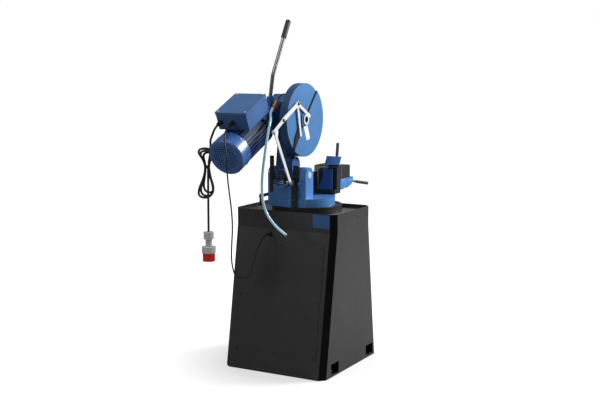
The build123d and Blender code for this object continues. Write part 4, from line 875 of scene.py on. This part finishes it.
@dataclass(frozen=True)
class Cords:
    """The mains cord, the pump's cable and the coolant hose."""

    hank_across: Point = (-0.4846, 0.8747, 0.0)

    def build(self, shop: PaintShop) -> None:
        """Make the four cords.

        Args:
            shop: Where their materials come from.
        """
        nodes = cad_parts
        self.mains().build(shop, [nodes["cable_tie"], nodes["mains_plug"], nodes["plug_shroud"]])
        self.hose().build(shop, [])
        self.pump_upper().build(shop, [])
        self.pump_lower().build(shop, [])

    def mains(self) -> CordRun:
        """The mains cord from its gland through the hank down to the plug."""
        lead = (
            (180, 456.23, 1178.14), (180, 483.53, 1165.70), (193, 490, 1126), (222, 459, 1104),
            (250, 414, 1078), (257, 411, 1028), (250.53, 431.04, 1006),
        )
        tail = (
            (232.80, 463.05, 948), (229, 470, 896), (227, 473, 806), (228, 472, 732), (228, 472, 687),
        )
        return CordRun(
            "mains_cord", lead + Hank().route() + tail, 10.5, 2118,
            ("mains_lead", "mains_hank", "mains_tail"), RUBBER, "black_rubber", "plug", "hanging", "medium",
            self.hank_across,
            (Body.HEAD.value, Body.MAINS_CORD.value), (180, 456.23, 1178.14), (200, 500, 1110),
        )

    def hose(self) -> CordRun:
        """The pale coolant hose from the valve to its free end."""
        route = (
            (50, 191, 1242), (50, 213.28, 1223.43), (28, 246, 1204), (5, 292, 1180), (-1, 327, 1126),
            (8, 335, 1040), (26, 325, 962), (38, 314, 888), (37, 307, 814), (18, 302, 759),
            (-18, 307, 721), (-59, 316, 694), (-95, 321, 675),
        )
        return CordRun(
            "coolant_hose_line", route, 12.4, 708, ("coolant_hose",), HOSE_PVC, "pale_hose", "bare",
            "hanging", "medium", (1, 0, 0), (Body.TURNTABLE.value, Body.HEAD.value), (50, 260, 800),
            (50, 191, 1242), 8.4,
        )

    def pump_upper(self) -> CordRun:
        """The pump cable from the control box to the bottom of its loop."""
        route = (
            (117, 456.23, 1178.14), (117, 483.53, 1165.70), (104, 519, 1146), (88, 545, 1100),
            (75, 550, 1036), (79, 541, 958), (87, 513, 880), (97, 479, 792), (110, 452, 708),
            (129, 432, 628), (143, 414, 556), (143, 401, 508), (138, 393, 479), (130, 383, 466),
            (118, 369, 463.5),
        )
        return CordRun(
            "pump_cable_drop", route, 7.0, 813, ("pump_cable_upper",), RUBBER, "black_rubber", "object",
            "hanging", "limp", (1, 0, 0), (Body.TURNTABLE.value, Body.HEAD.value), (118, 369, 463.5),
            (117, 456.23, 1178.14),
        )

    def pump_lower(self) -> CordRun:
        """The pump cable from its grommet to the bottom of its loop."""
        route = (
            (72, 196.24, 647.26), (72, 227.82, 652.43), (76, 278, 614), (82, 306, 556), (88, 328, 500),
            (95, 341, 471), (106, 355, 461), (118, 369, 463.5),
        )
        return CordRun(
            "pump_cable_rise", route, 7.0, 288, ("pump_cable_lower",), RUBBER, "black_rubber", "object",
            "hanging", "limp", (1, 0, 0), (Body.STAND.value, Body.TURNTABLE.value), (72, 196.24, 647.26),
            (118, 369, 463.5),
        )


SCREW_HEAD = ((0.0, 0.0), (4.6, 0.0), (4.6, 1.4), (3.8, 2.5), (2.4, 2.9), (2.2, 1.6), (0.0, 1.6))
HEX_HEAD = ((0.0, 0.0), (8.2, 0.0), (8.2, 0.9), (6.6, 0.9), (6.6, 4.6), (5.8, 5.2), (0.0, 5.2))
HEX_FLATS = 6
HEX_HOLLOW = 0.1


def bolt_head(at: Point, axis: Point) -> bpy.types.Object:
    """One hexagon bolt head on its washer, standing at a point along an axis."""
    return turned("bolt", HEX_HEAD, at, axis, lobes=HEX_FLATS, depth=HEX_HOLLOW)


@dataclass(frozen=True)
class CabinetTrim:
    """Screws of the rear panel and a bare sign plate on the rim."""

    slope: float = math.radians(9.296)
    knee: Tuple[float, float] = (178.0, 672.0)
    columns: Tuple[float, float, float] = (-207.0, 0.0, 207.0)
    rows: Tuple[float, float, float] = (73.7, 323.75, 578.8)
    sign_x: Tuple[float, float] = (-244.0, -156.0)
    sign_z: Tuple[float, float] = (694.0, 756.0)
    sign_corner: float = 3.0
    sign_thick: float = 1.0
    sign_edge: float = 0.4
    panel_thick: float = 2.0

    def on_rear(self, u: float, v: float, w: float) -> Point:
        """A point of the sloping rear: u across, v down the slope, w out of it."""
        s, c = math.sin(self.slope), math.cos(self.slope)
        return (u, self.knee[0] + v * s + w * c, self.knee[1] - v * c + w * s)

    def build(self, shop: PaintShop) -> None:
        """Make the screws and the sign.

        Args:
            shop: Where their materials come from.
        """
        out = (0.0, math.cos(self.slope), math.sin(self.slope))
        places = [(u, v) for v in self.rows for u in self.columns if not (u == 0 and v == self.rows[1])]
        feet = [self.on_rear(u, v, self.panel_thick) for u, v in places]
        heads = [turned("screw", SCREW_HEAD, foot, out) for foot in feet]
        finish_piece(joined("panel_screws", heads), Body.STAND, shop.of(BLACK_ENAMEL))
        middle = (sum(self.sign_x) / 2, self.knee[0], sum(self.sign_z) / 2)
        half = ((self.sign_x[1] - self.sign_x[0]) / 2, (self.sign_z[1] - self.sign_z[0]) / 2)
        outline = rounded_outline(middle, (-1, 0, 0), (0, 0, 1), half, self.sign_corner)
        sign = plate("sign_plate", outline, (0, 1, 0), self.sign_thick, self.sign_edge)
        finish_piece(sign, Body.STAND, shop.of(SIGN_BLUE))


@dataclass(frozen=True)
class GuardTrim:
    """Dark bands along the moving guard's edges, painted shade for the shaded step between the guards, and
    the bare plate on its face.
    """

    hub: Tuple[float, float] = (36.607, 1185.519)
    outer_r: float = 176.0
    shade_band_x: Tuple[float, float] = (-40.8, -38.6)
    edges: Tuple[Tuple[float, ...], ...] = ((-127.0, 44.0, 34.0, 10.0), (48.0, 44.0, 7.0, 7.0))
    shoulder: float = 0.58
    face_x: float = -41.0
    label_thick: float = 1.0
    label_edge: float = 0.3
    label: Tuple[Tuple[float, ...], ...] = ((57, 1150), (20, 1156), (-5, 1092), (28, 1085))

    def build(self, shop: PaintShop) -> None:
        """Make the painted shade bands and the plate.

        Args:
            shop: Where their materials come from.
        """
        # Painted shade: dark bands along the moving guard's edges.
        shade_bands = [self.shade_band(*edge) for edge in self.edges]
        finish_piece(joined("guard_shade_bands", shade_bands), Body.MOVING_GUARD, shop.of(SHADE_BAND_BLACK))
        outline = np.column_stack([np.full(len(self.label), self.face_x), np.array(self.label, float)])
        label = plate("guard_plate", outline[::-1], (-1, 0, 0), self.label_thick, self.label_edge)
        finish_piece(label, Body.MOVING_GUARD, shop.of(SIGN_WHITE))

    def shade_band(self, angle: float, inner_r: float, width: float, tip: float) -> bpy.types.Object:
        """One painted shade band: a dark flat bar along a radius, standing out past the guard's edge and
        narrower at the rim.

        Args:
            angle: Direction of the edge in degrees, from the front, upwards.
            inner_r: Radius where it starts.
            width: How far it stands past the edge.
            tip: How far it stands past the edge at the rim.

        Returns:
            The lip.
        """
        a = math.radians(angle)
        along = np.array([-math.cos(a), math.sin(a)])
        side = 1.0 if angle > 0 else -1.0
        past = np.array([math.sin(a), math.cos(a)]) * side
        near = np.array(self.hub) + along * inner_r
        far = np.array(self.hub) + along * math.sqrt(self.outer_r ** 2 - tip ** 2)
        bend = near + self.shoulder * (far - near)
        flat = np.array([near, far, far + past * tip, bend + past * width, near + past * width])
        rows = np.stack([np.column_stack([np.full(len(flat), x), flat]) for x in self.shade_band_x])
        return grid_object("shade_band", rows * MM, (True, True), smooth=False)


@dataclass(frozen=True)
class LinkTrim:
    """Bolt heads of the guard linkage and its bracket."""

    bar_x: float = -50.0
    knee_bolt: Tuple[float, float] = (262.4, 1194.3)
    apex: Tuple[float, float] = (121.5, 1264.4)
    bracket_x: float = -41.0
    bracket_y: float = 150.0
    bracket_z: Tuple[float, float] = (808.0, 850.0)

    def build(self, shop: PaintShop) -> None:
        """Make the bolt heads.

        Args:
            shop: Where their materials come from.
        """
        black = shop.of(BLACK_ENAMEL)
        places = (self.knee_bolt, self.apex)
        heads = [bolt_head((self.bar_x, *at), (-1, 0, 0)) for at in places]
        finish_piece(joined("link_bolts", heads), Body.UPPER_LINK, black)
        heads = [bolt_head((self.bracket_x, self.bracket_y, z), (0, 1, 0)) for z in self.bracket_z]
        finish_piece(joined("bracket_bolts", heads), Body.TURNTABLE, black)


@dataclass(frozen=True)
class HeadTrim:
    """Screws of the control box's lid and the fan cowl, and bolts of the gearbox cover."""

    pivot: Tuple[float, float] = (92.5, 927.4)
    tilt: float = math.radians(24.5)
    lid_x: Tuple[float, float] = (45.0, 188.0)
    lid_y: Tuple[float, float] = (22.0, 194.0)
    lid_top: float = 429.0
    motor_axis: Tuple[float, float] = (117.0, 263.4)
    cowl_screw_y: float = 257.0
    cowl_r: float = 87.6
    hub: Tuple[float, float] = (36.607, 1185.519)
    cover_x: float = 158.0
    cover_bolt_r: float = 49.0
    cover_bolts: int = 6
    cowl_angles: Tuple[float, ...] = (45.0, 135.0, 225.0, 315.0)

    def in_head(self, x: float, y: float, z: float) -> Point:
        """Carry a point of the level head into the frame: turned by the tilt about the pivot."""
        s, c = math.sin(self.tilt), math.cos(self.tilt)
        return (x, self.pivot[0] + y * c + z * s, self.pivot[1] - y * s + z * c)

    def head_run(self, x: float, y: float, z: float) -> Point:
        """Turn a direction of the level head into the frame."""
        s, c = math.sin(self.tilt), math.cos(self.tilt)
        return (x, y * c + z * s, -y * s + z * c)

    def build(self, shop: PaintShop) -> None:
        """Make the screws and bolts.

        Args:
            shop: Where their materials come from.
        """
        steel = shop.of(STEEL)
        up = self.head_run(0, 0, 1)
        corners = [(x, y) for x in self.lid_x for y in self.lid_y]
        screws = [turned("screw", SCREW_HEAD, self.in_head(x, y, self.lid_top), up) for x, y in corners]
        finish_piece(joined("lid_screws", screws), Body.HEAD, steel)
        screws = []
        for angle in np.radians(self.cowl_angles):
            x, z = math.cos(angle), math.sin(angle)
            side = self.motor_axis[0] + x * self.cowl_r
            rise = self.motor_axis[1] + z * self.cowl_r
            at = self.in_head(side, self.cowl_screw_y, rise)
            screws.append(turned("screw", SCREW_HEAD, at, self.head_run(x, 0, z)))
        finish_piece(joined("cowl_screws", screws), Body.HEAD, steel)
        bolts = []
        for angle in np.radians(np.arange(self.cover_bolts) * 360.0 / self.cover_bolts):
            at = (self.cover_x, self.hub[0] + math.cos(angle) * self.cover_bolt_r,
                  self.hub[1] + math.sin(angle) * self.cover_bolt_r)
            bolts.append(bolt_head(at, (1, 0, 0)))
        finish_piece(joined("cover_bolts", bolts), Body.HEAD, steel)


@dataclass(frozen=True)
class EarPlate:
    """A black plate bolted to the rear of one of the pivot's ears."""

    name: str
    x: Tuple[float, float]
    z: Tuple[float, float]
    bolt_z: Tuple[float, float]
    y: float = 129.5
    thick: float = 4.0
    corner: float = 5.0
    edge: float = 0.5

    def build(self, shop: PaintShop) -> None:
        """Make the plate and its bolts.

        Args:
            shop: Where their materials come from.
        """
        middle = (sum(self.x) / 2, self.y, sum(self.z) / 2)
        half = ((self.x[1] - self.x[0]) / 2, (self.z[1] - self.z[0]) / 2)
        outline = rounded_outline(middle, (-1, 0, 0), (0, 0, 1), half, self.corner)
        stop = plate(self.name, outline, (0, 1, 0), self.thick, self.edge)
        finish_piece(stop, Body.TURNTABLE, shop.of(BLACK_ENAMEL))
        heads = [bolt_head((middle[0], self.y + self.thick, z), (0, 1, 0)) for z in self.bolt_z]
        bolts = joined(self.name + "_bolts", heads)
        finish_piece(bolts, Body.TURNTABLE, shop.of(BLACK_ENAMEL))


@dataclass(frozen=True)
class ToothedBlade:
    """The blade with its teeth cut, in place of the plain disc."""

    hub: Point = (-17.0, 36.607, 1185.519)
    bore_r: float = 15.1
    tip_r: float = 157.5
    tooth_depth: float = 5.0
    teeth: int = 90
    tooth_points: int = 6
    tooth_back: float = 0.7
    tooth_face: float = 0.3
    root_gap: float = 2.0
    thick: float = 2.5

    def build(self, shop: PaintShop) -> None:
        """Cut the teeth: the radius falls along each tooth's back and rises steeply up its face.

        Args:
            shop: Where its material comes from.
        """
        points = self.teeth * self.tooth_points
        share = np.arange(points) / self.tooth_points % 1.0
        falling = share / self.tooth_back
        rising = (1.0 - share) / self.tooth_face
        drop = np.where(share < self.tooth_back, falling, rising)
        outer = self.tip_r - self.tooth_depth * drop
        angle = np.arange(points) * 2 * math.pi / points
        ring = np.column_stack([np.zeros(points), np.cos(angle), np.sin(angle)])
        shift = np.array([self.thick / 2, 0.0, 0.0])
        inner = ring * self.bore_r
        edge = ring * outer[:, None]
        body = ring * (self.tip_r - self.tooth_depth - self.root_gap)
        low = [inner - shift, body - shift, edge - shift]
        high = [edge + shift, body + shift, inner + shift]
        rows = np.stack([*low, *high, inner - shift]) + np.array(self.hub)
        blade = grid_object("toothed_blade", rows * MM, (False, False), smooth=False)
        blade.data.materials.append(shop.of(STEEL))
        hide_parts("blade")
        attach(blade, Body.BLADE.value)
        log.info("built %s", blade.name)


@dataclass(frozen=True)
class ReturnSpring:
    """The head's return spring as a wound wire."""

    at: Tuple[float, float] = (22.0, 157.0)
    heights: Tuple[float, float] = (884.5, 945.0)
    coil_r: float = 21.0
    wire_r: float = 3.0
    turns: int = 6
    steps: int = 24
    sides: int = 10

    def build(self, shop: PaintShop) -> None:
        """Wind the wire: a helix of constant radius and pitch, blended between its two ends.

        Args:
            shop: Where its material comes from.
        """
        t = np.linspace(0.0, 1.0, self.turns * self.steps + 1)
        angle = t * self.turns * 2 * math.pi
        path = np.column_stack([
            self.at[0] + self.coil_r * np.cos(angle),
            self.at[1] + self.coil_r * np.sin(angle),
            self.heights[0] + t * (self.heights[1] - self.heights[0]),
        ])
        rows = tube_rows(path * MM, np.full(len(path), self.wire_r * MM), (0, 0, 1), self.sides)
        wire = grid_object("spring_wire", rows, (True, True))
        wire.data.materials.append(shop.of(SPRING_STEEL))
        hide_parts("return_spring")
        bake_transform(wire)
        log.info("built %s", wire.name)


def main() -> None:
    """Build the studio, dress the frame's nodes and add the pieces of the looks."""
    logging.basicConfig(level=logging.INFO, format="%(name)s: %(message)s")
    shop = PaintShop(SharedEffects.build(), {})
    Studio().build()
    Cords().build(shop)
    shop.dress_nodes()
    CabinetTrim().build(shop)
    GuardTrim().build(shop)
    LinkTrim().build(shop)
    HeadTrim().build(shop)
    EarPlate("outer_ear_plate", (79.0, 101.0), (842.0, 1016.0), (862.0, 906.0)).build(shop)
    EarPlate("inner_ear_plate", (-57.0, -27.0), (907.0, 974.0), (921.0, 944.0)).build(shop)
    ToothedBlade().build(shop)
    ReturnSpring().build(shop)


if __name__ == "__main__":
    main()
